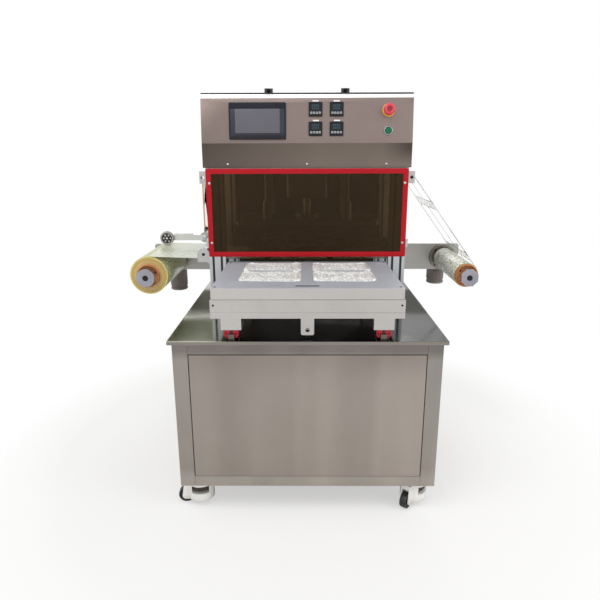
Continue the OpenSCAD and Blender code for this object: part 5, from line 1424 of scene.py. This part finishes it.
    def printed(self, name, s, ground, strength):
        """Flank of a film roll: the print seen through several turns, so that it repeats a little shifted,
        with veins where slack turns touch."""
        net = Finish(name)
        uv = net.out("TexCoord", "UV")
        one = printed_motif(net, UV=uv, Pitch=s.motif)
        two = printed_motif(net, UV=net.added(uv, (0.007, 0.004, 0.0)), Pitch=s.motif * 1.02)
        u, v, _ = net.parts(uv)
        band = net.noise(net.scaled(uv, (46.0, 2.0, 1.0)), 1.0, 3.0, 0.6)
        lean = v * (TURN / 0.027) + net.noise(uv, 24.0, 2.0) * 5.0
        stripe = net.remap(net.math("SINE", lean + u * 26.0), -0.2, 0.3)
        blot = net.remap(net.noise(uv, 62.0, 3.0, 0.6), 0.5, 0.6)
        drift = net.scaled(net.noise(uv, 40.0, 2.0, output="Color"), (0.02, 0.02, 0))
        cell = net.cells(net.added(uv, drift), 62.0, feature="DISTANCE_TO_EDGE")
        col = net.mix(net.remap(band, 0.36, 0.62), shade(ground, 1.25), shade(ground, 0.9))
        for share, paint in (
            (stripe * (strength * 0.9), shade(s.ink, 0.42)),
            (blot * (strength * 0.9), shade(s.ink, 0.5)),
            (two["Print"] * (strength * 0.5), shade(s.ink, 0.8)),
            (one["Print"] * strength, shade(s.ink, 0.55)),
            (one["Dots"] * strength, tone("E8D48A")),
            (net.remap(cell, 0.025, 0.075, 0.95 - strength * 1.6, 0), tone("4A5438")),
        ):
            col = net.mix(share, col, paint)
        return net.done(col, net.remap(band, 0.3, 0.7, 0.26, 0.42), (band, 0.15, 3e-4), Coat_Weight=0.08)

    def cardboard(self, base):
        """Spiral-wound cardboard: fibres and a helical seam."""
        net = Finish("Core_cardboard")
        _, y, z = net.parts(net.at)
        seam = net.math("FRACT", (y + z * 0.6) / 0.07)
        line = net.remap(abs(seam - 0.5), 0.0, 0.012, 1, 0)
        fibre = net.noise(net.scaled(net.at, (300, 90, 300)), 1.0, 4.0, 0.65)
        col = net.mix(net.remap(fibre, 0.3, 0.7), shade(base, 0.8), shade(base, 1.3))
        col = net.mix(line * 0.6, col, shade(base, 0.45))
        return net.done(col, net.remap(fibre, 0.3, 0.7, 0.6, 0.85), (fibre, 0.5, 1.5e-4))


class SEALER_OT_winders(bpy.types.Operator):
    """Bracket plates, bearing housings and gearmotors"""

    bl_idname = "sealer.winders"
    bl_label = "Winders"

    def execute(self, context):
        s = context.scene.sealer_metals
        plate = metal("Bracket_plate", s.bracket, (300, 300, 4), (0.36, 0.5), 0.05, 3.0)
        dressed("roll_brackets", plate, "frame", s.edge / MM)
        # the flanges behind the rolls turn darker: partly a darker steel, partly painted shade from the rolls
        flange_tone_and_shade = tone("87837B")
        tints = ((flange_tone_and_shade, 0, 0.45, 0.47), (flange_tone_and_shade, 0, -0.5, -0.52))
        housing = metal("Turned_housings", tone("B9B7B4"), (60, 60, 60), (0.34, 0.5), 0.07, 9.0, tints=tints)
        dressed("bearing_housings", housing, "frame", s.edge / MM)
        bolts = []
        for x in (SUPPLY_X, TAKE_X):
            for a in np.radians((45, 135, 225, 315)):
                bolts.append(
                    socket_head(front(x + 44 * math.cos(a), 340.6, SHAFT_Z + 44 * math.sin(a)), 10.5, 3.2)
                )
            m = front(x, 334.0, SHAFT_Z)
            seal = filleted([(22.6, 0.05), (22.6, 0.5), (14.2, 0.5), (14.2, -0.6)], 0.3, 2)
            bolts.append(turned(seal, m, 48, slot=1))
        for sx in (-1, 1):
            for z in (655.0, 742.0):
                for x in (308.0, 342.0):
                    bolts.append(socket_head(upright(sx * x, 360.0, z, 0, 1), 9, 3.2))
        build("bearing_bolts", bolts, [dark_screw(), black_nylon()], "frame")
        cast = moulded("Motor_enamel", tone("817974"), (0.36, 0.52), 420, 9e-5, 0.2, 8.0, 0.1)
        self.motor("supply_motor", SUPPLY_X, -1, 543.0, cast, ("winder_gearmotors",))
        self.motor("take_up_motor", TAKE_X, 1, 572.0, cast, ())
        return {"FINISHED"}

    def motor(self, name, x, s, z0, cast, stands_for):
        """Cast gearbox with ribs, and a motor whose barrel is finned: r = R - d (1 - |sin(n u / 2)|^p). An
        end bell and a blank plate finish it."""
        box = layered(rounded(72, 92, 10, 6), slab(0, 60, 2.5), front(x, 420, SHAFT_Z))
        cover = layered(rounded(58, 78, 8, 5), slab(0, 1.6, 0.6), upright(x, 420, SHAFT_Z, 0, 1))
        ribs = [(x + side * 36.2, y, SHAFT_Z, 0.9, 1.2, 32) for side in (-1, 1) for y in (372, 383, 394, 405)]
        patches = [box, cover, bars(ribs, np.eye(4))]
        m = place(x - s * 15, 398.5, 0)
        top = SHAFT_Z - 46
        barrel = [
            (35.4, z0 + 9), (35.4, z0 + 19), (36.4, z0 + 20), (37.5, z0 + 21), (37.5, top - 7),
            (36.2, top - 5.2), (33.0, top - 5), (33.0, top + 3),
        ]
        patches.append(turned(barrel, m, 288, flutes=(36, 2.6, 0.5), caps=BOTH))
        bell = filleted(
            [
                (0.001, z0), (20, z0), (22, z0), (34, z0), (37.5, z0 + 3), (37.5, z0 + 10), (35.0, z0 + 10),
                (0.001, z0 + 10),
            ],
            1.2, 3,
        )
        patches.append(turned(bell, m, 64))
        patches.append(
            layered(rounded(34, 22, 2, 3), slab(0, 0.9, 0.2), upright(x, 421.6, SHAFT_Z + 14, 0, 1), 1)
        )
        for bx, bz in ((-24, -34), (24, -34), (-24, 34), (24, 34)):
            patches.append(socket_head(upright(x + bx, 421.5, SHAFT_Z + bz, 0, 1), 7, 2.4, 2, 18))
        blank = metal("Blank_rating_plate", tone("B4B4AE"), (4, 200, 400), (0.3, 0.4), 0.05, 20.0)
        build(name, patches, [cast, blank, dark_screw()], "frame", stands_for)


class SEALER_OT_rollers(bpy.types.Operator):
    """Film rollers, measuring arm and measuring wheel"""

    bl_idname = "sealer.rollers"
    bl_label = "Rollers and arm"

    def execute(self, context):
        drawn = metal("Drawn_roller", tone("BCBFC2"), (400, 8, 400), (0.2, 0.34), 0.05, 6.0)
        for name, x, z, r, y0, y1 in (
            ("entrance", -380, ROLLER_Z, ROLLER_R, -22, 330),
            ("exit", EXIT_X, ROLLER_Z, ROLLER_R, -13.7, 321.7),
            ("upper", 366, 1054, 14, -44, 352),
        ):
            m = upright(x, 0, z, 0, 1)
            near = [(0.001, y0), (6, y0), (6, -11.2), (r - 4, -11.2), (r - 4, FILM_Y0), (r, FILM_Y0)]
            far = [(r, FILM_Y1), (r - 4, FILM_Y1), (r - 4, 319.2), (6, 319.2), (6, y1), (0.001, y1)]
            nut = [(5.4, -0.2), (5.4, 1.2), (4.6, 1.9), (2.2, 1.9), (1.8, 0.6), (0.001, 0.6)]
            nut = [(radius, h - y0) for radius, h in nut]
            patches = [
                turned(filleted(near + far, 0.5, 2), m, 48),
                turned(nut, front(x, 0, z), 28, slot=1, caps=START),
            ]
            build(name + "_tube", patches, [drawn, dark_screw()], name, (name + "_roller",))
        arm = moulded("Arm_enamel", tone("E0E1DE"), (0.32, 0.45), 700, 4e-5, 0.1, 14.0, 0.05, coat=0.2)
        dressed("measuring_arm", arm, "arm", 1.2)
        black = moulded("Measuring_wheel_plastic", tone("1E1E20"), (0.35, 0.5), 900, 3e-5, 0.15, 40.0, 0.12)
        dressed("measuring_wheel", black, "arm_wheel", 0.8)
        m = front(-580, 248, ARM_Z)
        tyre = [(27.5, -1.5), (27.95, -2.2), (27.95, -13.8), (27.5, -14.5), (27.3, -8), (27.5, -1.5)]
        hub = filleted([(4.1, 0.0), (4.1, 0.8), (4.8, 0.8), (5.2, 0.0), (4.1, 0.0)], 0.2, 2)
        face = filleted([(21.6, -0.3), (21.6, 0.25), (26.6, 0.25), (26.9, -0.3), (21.6, -0.3)], 0.15, 2)
        grey = moulded("Grey_rubber_tyre", tone("B4B4B8"), (0.55, 0.7), 700, 8e-5, 0.2, 30.0, 0.1)
        web = filleted([(4.2, -4), (21.5, -4), (21.5, -3), (4.2, -3), (4.2, -4)], 0.2, 2)
        patches = [
            turned(tyre, m, 72), turned(face, m, 72), turned(hub, m, 36, slot=1), turned(web, m, 48, slot=2)
        ]
        pale = moulded("Wheel_web", tone("EADADD"), (0.4, 0.6), 900, 3e-5, 0.15, 40.0, 0.15)
        build("measuring_wheel_tyre", patches, [grey, bright_steel(), pale], "arm_wheel")
        dome = filleted([(8.5, 0), (8.5, 2.0), (6.5, 3.2), (0.001, 3.4)], 0.6, 3)
        cap = turned(dome, front(-425, 264.6, ARM_Z), 36, caps=START)
        build("arm_pin_cap", [cap], [bright_steel()], "arm")
        return {"FINISHED"}


class SEALER_OT_control_box(bpy.types.Operator):
    """Control box, lid, hinges and the rack inside"""

    bl_idname = "sealer.control_box"
    bl_label = "Control box"

    def execute(self, context):
        s = context.scene.sealer_metals
        dressed("control_box", self.sheet(s), "frame", 0.8)
        # painted shade: the lid's front edge and its lip below the top are near black
        edges = ((tone("36363A"), 1, -0.022, 0.0008, 0.0004), (tone("202022"), 2, 1.345, 0.0104, 0.0002))
        lid = metal("Lid_stainless", tone("7E7974"), (4, 300, 300), (0.24, 0.38), 0.06, 3.0, bands=edges)
        dressed("control_box_lid", lid, "lid", 0.5)
        # painted highlight: the black hinges go nearly white below the lid line, like the bevel beside them
        leaf = ((tone("F4F3F1"), 2, 1.3292, 1.3288),)
        hinge = metal(
            "Hinge_black", tone("1D1D1F"), (300, 300, 300), (0.4, 0.55), 0.1, 40.0, tints=leaf, metallic=0.0
        )
        dressed("lid_hinges", hinge, "frame", 0.7)
        grey = moulded("Module_plastic", tone("C9C9C4"), (0.4, 0.55), 800, 3e-5, 0.1, 14.0, 0.05)
        dressed("electrics", grey, "frame", 1.2)
        head = [(3.0, 0), (3.0, 0.4), (2.2, 0.4), (0.001, -0.2)]
        screws = [
            turned(head, place(x + step, y, 1166.3), 14)
            for x in (-180, -45, 60, 134, 208)
            for y in (205.0, 228.0)
            for step in (-22, -11, 0, 11)
        ]
        build("terminal_screws", screws, [zinc()], "frame")
        return {"FINISHED"}

    def sheet(self, s):
        """Stainless of the control box in painted light and shade: the skirt under the bend darker and
        browner to the left, the panel darker to the left and on top, the bevel over it a nearly white painted
        highlight."""
        net = Finish("Control_box_stainless")
        x, _, z = net.parts(net.at)
        lines = brushed_grain(net, Vector=net.at, Squeeze=(3.0, 3.0, 800.0))
        clouds = cloudy_tone(net, Vector=net.at, Scale=2.1)
        marks = handling_marks(net, Vector=net.at, Scale=10.0)
        # painted shade: the skirt darker to the left and at its upper right end, lighter towards its foot
        skirt = net.mix(net.remap(x, -0.36, 0.05), shade(s.skirt, 0.55), shade(s.skirt, 0.96))
        skirt = net.mix(net.remap(x, 0.26, 0.35) * net.remap(z, 1.1, 1.15), skirt, shade(s.skirt, 0.45))
        skirt = net.mix(net.remap(z, 1.165, 1.09), skirt, net.times(skirt, (1.25, 1.22, 1.25)))
        # painted shade: the panel darker to the left and along its top
        panel = net.mix(net.remap(x, -0.4, 0.1), shade(s.box, 0.67), shade(s.box, 0.77))
        panel = net.mix(net.remap(z, 1.29, 1.316), panel, net.times(panel, (0.86, 0.87, 0.9)))
        col = net.mix(net.remap(z, 1.1685, 1.1695), skirt, panel)
        col = net.mix(clouds["Tone"], net.times(col, (0.94, 0.94, 0.93)), net.times(col, (1.06, 1.05, 1.05)))
        col = net.mix(lines["Grain"] * 0.08, col, net.times(col, 1.3))
        # painted highlight: the bevel over the panel nearly white; painted shade: a dark band above it, under
        # the lid
        col = net.mix(net.remap(z, 1.3163, 1.318), col, tone("F6F5F3"))
        col = net.mix(net.remap(z, 1.3284, 1.3292), col, tone("46464A"))
        gloss = net.remap(marks["Smudge"], 0, 1, 0.42, 0.52)
        return net.done(col, gloss, (lines["Height"], 0.3, 1e-5), Metallic=1.0)


class SEALER_OT_instruments(bpy.types.Operator):
    """Touch screen, temperature controllers and push buttons"""

    bl_idname = "sealer.instruments"
    bl_label = "Instruments"

    def execute(self, context):
        s = context.scene.sealer_controls
        self.touch(s)
        self.gauges(s)
        self.buttons(s)
        return {"FINISHED"}

    def touch(self, s):
        """Bezel with a rounded rim and a sunk screen, the glass a shallow dish in it, and the body behind the
        sheet."""
        m = on_panel(-169, 73)
        outer, view = rounded(195, 122, 4, 5), rounded(185, 80, 1.2, 5)
        rows = [(0, 0), (0, 4.6), (0.02, 5.4), (0.06, 5.9), (0.12, 6.0), (0.8, 6.0), (0.84, 5.6), (0.97, 5.5)]
        rows += [(1.0, 5.3), (1.0, 4.9)]
        back = layered(rounded(180, 107, 3, 3), slab(-34, 0.2, 1.0), m)
        patches = [ring(outer, view, rows, m), self.pane(view, 4.9, 0.4, 5.0, m), back]
        bezel = moulded("Screen_bezel", s.bezel, (0.34, 0.46), 1600, 1e-5, 0.05, 9.0, 0.2, specular=0.22)
        screen = self.glass("Resting_screen", s.screen, 0.03, (-0.169, 0.0757, tone("31343F")))
        build("touch_screen_case", patches, [bezel, screen], "frame", ("touch_screen",))

    def pane(self, view, low, inset, high, m):
        """A glass without a back: its outline at one height, drawn in at the next and capped there."""
        patch = layered(view, [(0, low), (inset, high)], m, 1)
        del patch["faces"][-2]
        return patch

    def glass(self, name, base, spread, margin=None):
        """Unlit display behind matt glass: a slow gradient and faint finger marks. margin = (centre, half,
        colour) paints the glass beside the display."""
        net = Finish(name)
        x, _, z = net.parts(net.at)
        marks = handling_marks(net, Vector=net.at, Scale=24.0)
        wave = net.remap(net.math("FRACT", x * 3.0 + z * 2.0), 0, 1)
        slope = net.remap(wave * 0.3 + net.noise(net.at, 12.0, 2.0), 0.3, 0.9)
        col = net.mix(slope, shade(base, 1 - spread), shade(base, 1 + spread))
        if margin:
            centre, half, beside = margin
            col = net.mix(net.remap(abs(x - centre), half, half + 0.0006), col, beside)
        return net.done(col, net.remap(marks["Smudge"], 0, 1, 0.32, 0.36), Specular_IOR_Level=0.3)

    def gauges(self, s):
        """Four controllers: a rounded case, a sunk window with two rows of unlit seven-bar figures, four keys
        with arrow marks, and a blank label above."""
        case = moulded(
            "Controller_case", s.gauge, (0.36, 0.48), 1400, 1.5e-5, 0.05, 20.0, 0.15, specular=0.25
        )
        dark = self.glass("Controller_window", tone("172026"), 0.15)
        bar = moulded("Unlit_figures", tone("54727E"), (0.3, 0.4), 1400, 5e-6, 0.0, 60.0, 0.12, specular=0.3)
        key = moulded("Controller_keys", tone("A9ACAE"), (0.4, 0.5), 1400, 2e-5, 0.05, 60.0, 0.1)
        mark = moulded("Key_marks", tone("303336"), (0.4, 0.5), 1400, 5e-6, 0.0, 80.0, 0.05)
        label = moulded("Blank_labels", tone("F3F3F5"), (0.45, 0.6), 1200, 5e-6, 0.0, 40.0, 0.03)
        segments = [(0, y, 1.25, 0.28) for y in (2.9, 0, -2.9)]
        segments += [(x, y, 0.28, 1.15) for y in (1.45, -1.45) for x in (-1.5, 1.5)]
        figures = [
            (((col - 1.5) * 6.6 + x) * size, row + y * size, 4.15, w * size, h * size, 0.12)
            for row, size in ((11.8, 1.0), (2.6, 0.9))
            for col in range(4)
            for x, y, w, h in segments
        ]
        outer, view = rounded(47, 47, 2, 4), rounded(34, 22, 0.6, 4) + (0, 7)
        rows = [(0, 0), (0, 4.0), (0.03, 4.7), (0.08, 5.0), (0.9, 5.0), (0.98, 4.8), (1.0, 4.4), (1.0, 4.05)]
        patches, labels = [], []
        for i in (-1, 1):
            for k in (-1, 1):
                x, up = 65 + i * 36, 79 + k * 32
                m = on_panel(x, up)
                back = layered(rounded(43, 43, 2, 3), slab(-62, 0.3, 0.8), m)
                patches += [
                    ring(outer, view, rows, m), self.pane(view, 4.05, 0.3, 4.1, m), back, bars(figures, m, 2)
                ]
                for col in range(4):
                    spot = ((col - 1.5) * 9.6, -12.0)
                    patches.append(layered(rounded(7.0, 7.0, 1.2, 3) + spot, slab(4.6, 5.7, 0.35), m, 3))
                    flip = 1 if col % 2 else -1
                    arrow = np.array([(-2.3, -1.5), (2.3, -1.5), (0, 1.7)]) * (1.1, 1.1 * flip)
                    arrow = polygon(*(arrow[::flip] + spot))
                    patches.append(layered(arrow, [(0, 5.6), (0, 5.85), (0.15, 5.95)], m, 4))
                low = on_panel(x + (1.5 if k < 0 else 0), up + 27.4)
                labels.append(layered(rounded(21, 4.6, 0.8, 3), slab(0, 0.35, 0.1), low))
        build(
            "controller_faces", patches, [case, dark, bar, key, mark], "frame",
            ("temperature_controllers",),
        )
        build("controller_labels", labels, [label], "frame")

    def buttons(self, s):
        """Turned rings, mushroom head with a dished crown and a stepped skirt, and a domed green cap, each
        with its contact block behind the sheet."""
        yellow = moulded("Yellow_ring", s.ring, (0.32, 0.45), 1100, 1.5e-5, 0.1, 30.0, 0.08)
        chrome = metal("Chromed_ring", tone("ADB0B2"), (80, 80, 80), (0.16, 0.28), 0.05, 30.0)
        block = moulded("Contact_block", tone("2E3033"), (0.45, 0.6), 900, 3e-5, 0.1, 20.0, 0.1)
        stop, start = on_panel(278, 108), on_panel(278, 41)
        wide = [(6.1, 0), (22, 0), (22, 2.2), (20.6, 3.0), (15.5, 3.0), (14.6, 2.2), (6.1, 2.2), (6.1, 0)]
        tall = [(6.1, 0), (15.5, 0), (15.5, 2.4), (14.3, 4.0), (12.2, 4.0), (11.9, 3.2), (11.9, 1.2)]
        tall += [(6.1, 1.2), (6.1, 0)]
        patches = [
            turned(filleted(wide, 0.5, 3), stop, 64),
            turned(filleted(tall, 0.4, 3), start, 64, slot=1),
        ]
        for m in (stop, start):
            patches.append(layered(rounded(30, 30, 2.5, 3), slab(-42, -2.4, 0.8), m, 2))
            patches.append(pin(11, -2.5, 0.1, m, 32, 2))
        build("button_rings", patches, [yellow, chrome, block], "frame", ("button_bases",))
        # painted highlight: the head's red is lifted towards pink
        red = moulded("Stop_head", s.stop, (0.3, 0.42), 1500, 6e-6, 0.03, 40.0, 0.1, coat=0.3)
        # painted shade: the dished centre takes the head's red darkened
        deep = moulded("Stop_head_centre", shade(s.stop, 0.42), (0.3, 0.42), 1500, 6e-6, 0.03, 40.0, 0.12)
        rows = [
            (0.001, 8), (14, 8), (14, 12), (19, 12), (20, 13.8), (20, 18.6), (18.6, 22.6), (15.0, 25.2),
            (12.2, 25.9), (10.4, 25.4), (9.6, 24.6),
        ]
        head = turned(filleted(rows, 1.4, 4), stop, 72)
        dish = turned([(9.6, 24.6), (9.2, 24.2), (7.0, 23.8), (0.001, 23.6)], stop, 72, slot=1)
        stem = pin(6, -8.9, 9, stop, 32)
        build(
            "stop_mushroom", [head, dish, stem], [red, deep], "stop_button",
            ("emergency_stop_head",), smooth=50,
        )
        green = moulded("Start_cap", s.start, (0.3, 0.4), 1500, 6e-6, 0.03, 40.0, 0.1, coat=0.1, specular=0.3)
        cap = turned(
            filleted([(6, 3.9), (11, 3.9), (11, 5.6), (10.0, 6.4), (5, 6.5), (0.001, 6.5)], 0.8, 4), start, 56
        )
        stem = pin(6, -10.2, 4.2, start, 32)
        build("start_cap", [cap, stem], [green], "start_button", ("start_button_cap",))


class SEALER_OT_studio(bpy.types.Operator):
    """Pale floor, soft lamps, white surroundings and the camera"""

    bl_idname = "sealer.studio"
    bl_label = "Studio"

    def execute(self, context):
        scene = context.scene
        s = scene.sealer_studio
        self.floor(s)
        self.surroundings(scene, s)
        for name, power, where, size, aim in (
            ("Key", s.key, (-1.2, -1.7, 3.6), 2.4, (0, 0, 0.7)),
            ("Fill_right", s.fill, (2.6, -1.6, 2.2), 2.0, (0, 0, 0.7)),
            ("Fill_back", s.fill, (0.4, 2.6, 2.8), 2.4, (0, 0, 0.8)),
        ):
            lamp = bpy.data.lights.new(name, "AREA")
            lamp.energy, lamp.size, lamp.shape = power, size, "DISK"
            lamp.color = (1.0, 0.99, 0.97)
            holder = bpy.data.objects.new(name, lamp)
            scene.collection.objects.link(holder)
            holder.location = where
            holder.rotation_euler = (Vector(where) - Vector(aim)).to_track_quat("Z", "Y").to_euler()
        camera = bpy.data.objects.new("Camera", bpy.data.cameras.new("Camera"))
        scene.collection.objects.link(camera)
        camera.data.lens, camera.data.sensor_width = s.lens, 36.0
        pitch, heading, roll = (math.radians(a) for a in s.tilt)
        turn = Matrix.Rotation(heading, 3, "Z") @ Matrix.Rotation(pitch, 3, "X")
        turn = turn @ Matrix.Rotation(roll, 3, "Z")
        camera.location = s.place
        camera.rotation_euler = turn.to_euler()
        scene.camera = camera
        scene.view_settings.view_transform = "Standard"
        return {"FINISHED"}

    def floor(self, s):
        """A plane of one sheet: p = (x, y, 0), pale near the machine and as bright as the background far from
        it."""
        side = np.linspace(-12, 12, 9)
        x, y = np.meshgrid(side, side, indexing="ij")
        patch = sheet_of(np.stack((x, y, 0 * x - 0.0005), -1))
        mesh = bpy.data.meshes.new("studio_floor")
        mesh.from_pydata(patch["co"].tolist(), [], patch["faces"])
        floor = bpy.data.objects.new("studio_floor", mesh)
        bpy.context.scene.collection.objects.link(floor)
        net = Finish("Studio_floor")
        px, py, _ = net.parts(net.at)
        base = net.mix(net.noise(net.at, 40.0, 3.0), shade(s.floor, 0.985), s.floor)
        net.done(base, 0.9, Specular_IOR_Level=0.1)
        white = net.out("Emission", 0, {"Color": (1, 1, 1, 1), "Strength": 1.0})
        share = net.remap(net.root(px * px + py * py), 0.62, 1.25)
        share = net.largest(share, net.out("LightPath", "Is Camera Ray") * 0.5)
        blend = net.out("MixShader", 0, {0: share, 1: Value(net, net.shader.outputs[0]), 2: white})
        net.set(net.tree.nodes["Material Output"].inputs["Surface"], blend)
        mesh.materials.append(net.material)

    def surroundings(self, scene, s):
        """White where the camera, a reflection or clear sheet looks at it, and a softer level for diffuse
        light."""
        world = bpy.data.worlds.new("Studio")
        world.use_nodes = True
        scene.world = world
        net = Net(world.node_tree)
        rays = (net.out("LightPath", f"Is {kind} Ray") for kind in ("Camera", "Glossy", "Transmission"))
        background = world.node_tree.nodes["Background"]
        net.set(background.inputs["Color"], (1, 1, 1, 1))
        net.set(background.inputs["Strength"], net.remap(net.largest(*rays), 0, 1, s.sky, 1.0))


STEPS = (
    SEALER_OT_cabinet, SEALER_OT_casters, SEALER_OT_guides, SEALER_OT_drawer, SEALER_OT_trays,
    SEALER_OT_drive, SEALER_OT_press, SEALER_OT_guard, SEALER_OT_film, SEALER_OT_rolls, SEALER_OT_winders,
    SEALER_OT_rollers, SEALER_OT_control_box, SEALER_OT_instruments, SEALER_OT_studio,
)
SETTINGS = {
    "sealer_metals": SealerMetals, "sealer_guard": SealerGuard, "sealer_casters": SealerCasters,
    "sealer_film": SealerFilm, "sealer_controls": SealerControls, "sealer_studio": SealerStudio,
}


class SEALER_PT_panel(bpy.types.Panel):
    """Lists the pieces of the tray sealer and their settings"""

    bl_idname = "SEALER_PT_panel"
    bl_label = "Tray sealer"
    bl_space_type = "VIEW_3D"
    bl_region_type = "UI"
    bl_category = "Tray sealer"

    def draw(self, context):
        for attribute, group in SETTINGS.items():
            box = self.layout.box()
            box.label(text=group.__doc__.strip(". "))
            for key in group.__annotations__:
                box.prop(getattr(context.scene, attribute), key)
        column = self.layout.column(align=True)
        for step in STEPS:
            column.operator(step.bl_idname)


def register():
    for group in (*SETTINGS.values(), *STEPS, SEALER_PT_panel):
        bpy.utils.register_class(group)
    for attribute, group in SETTINGS.items():
        setattr(bpy.types.Scene, attribute, PointerProperty(type=group))


def unregister():
    for attribute in SETTINGS:
        delattr(bpy.types.Scene, attribute)
    for group in (SEALER_PT_panel, *reversed(STEPS), *reversed(SETTINGS.values())):
        bpy.utils.unregister_class(group)


def main():
    """Builds the machine: registers the settings, operators and panel, then runs each operator in turn."""
    register()
    for step in STEPS:
        group, name = step.bl_idname.split(".")
        getattr(getattr(bpy.ops, group), name)()


if __name__ == "__main__":
    main()
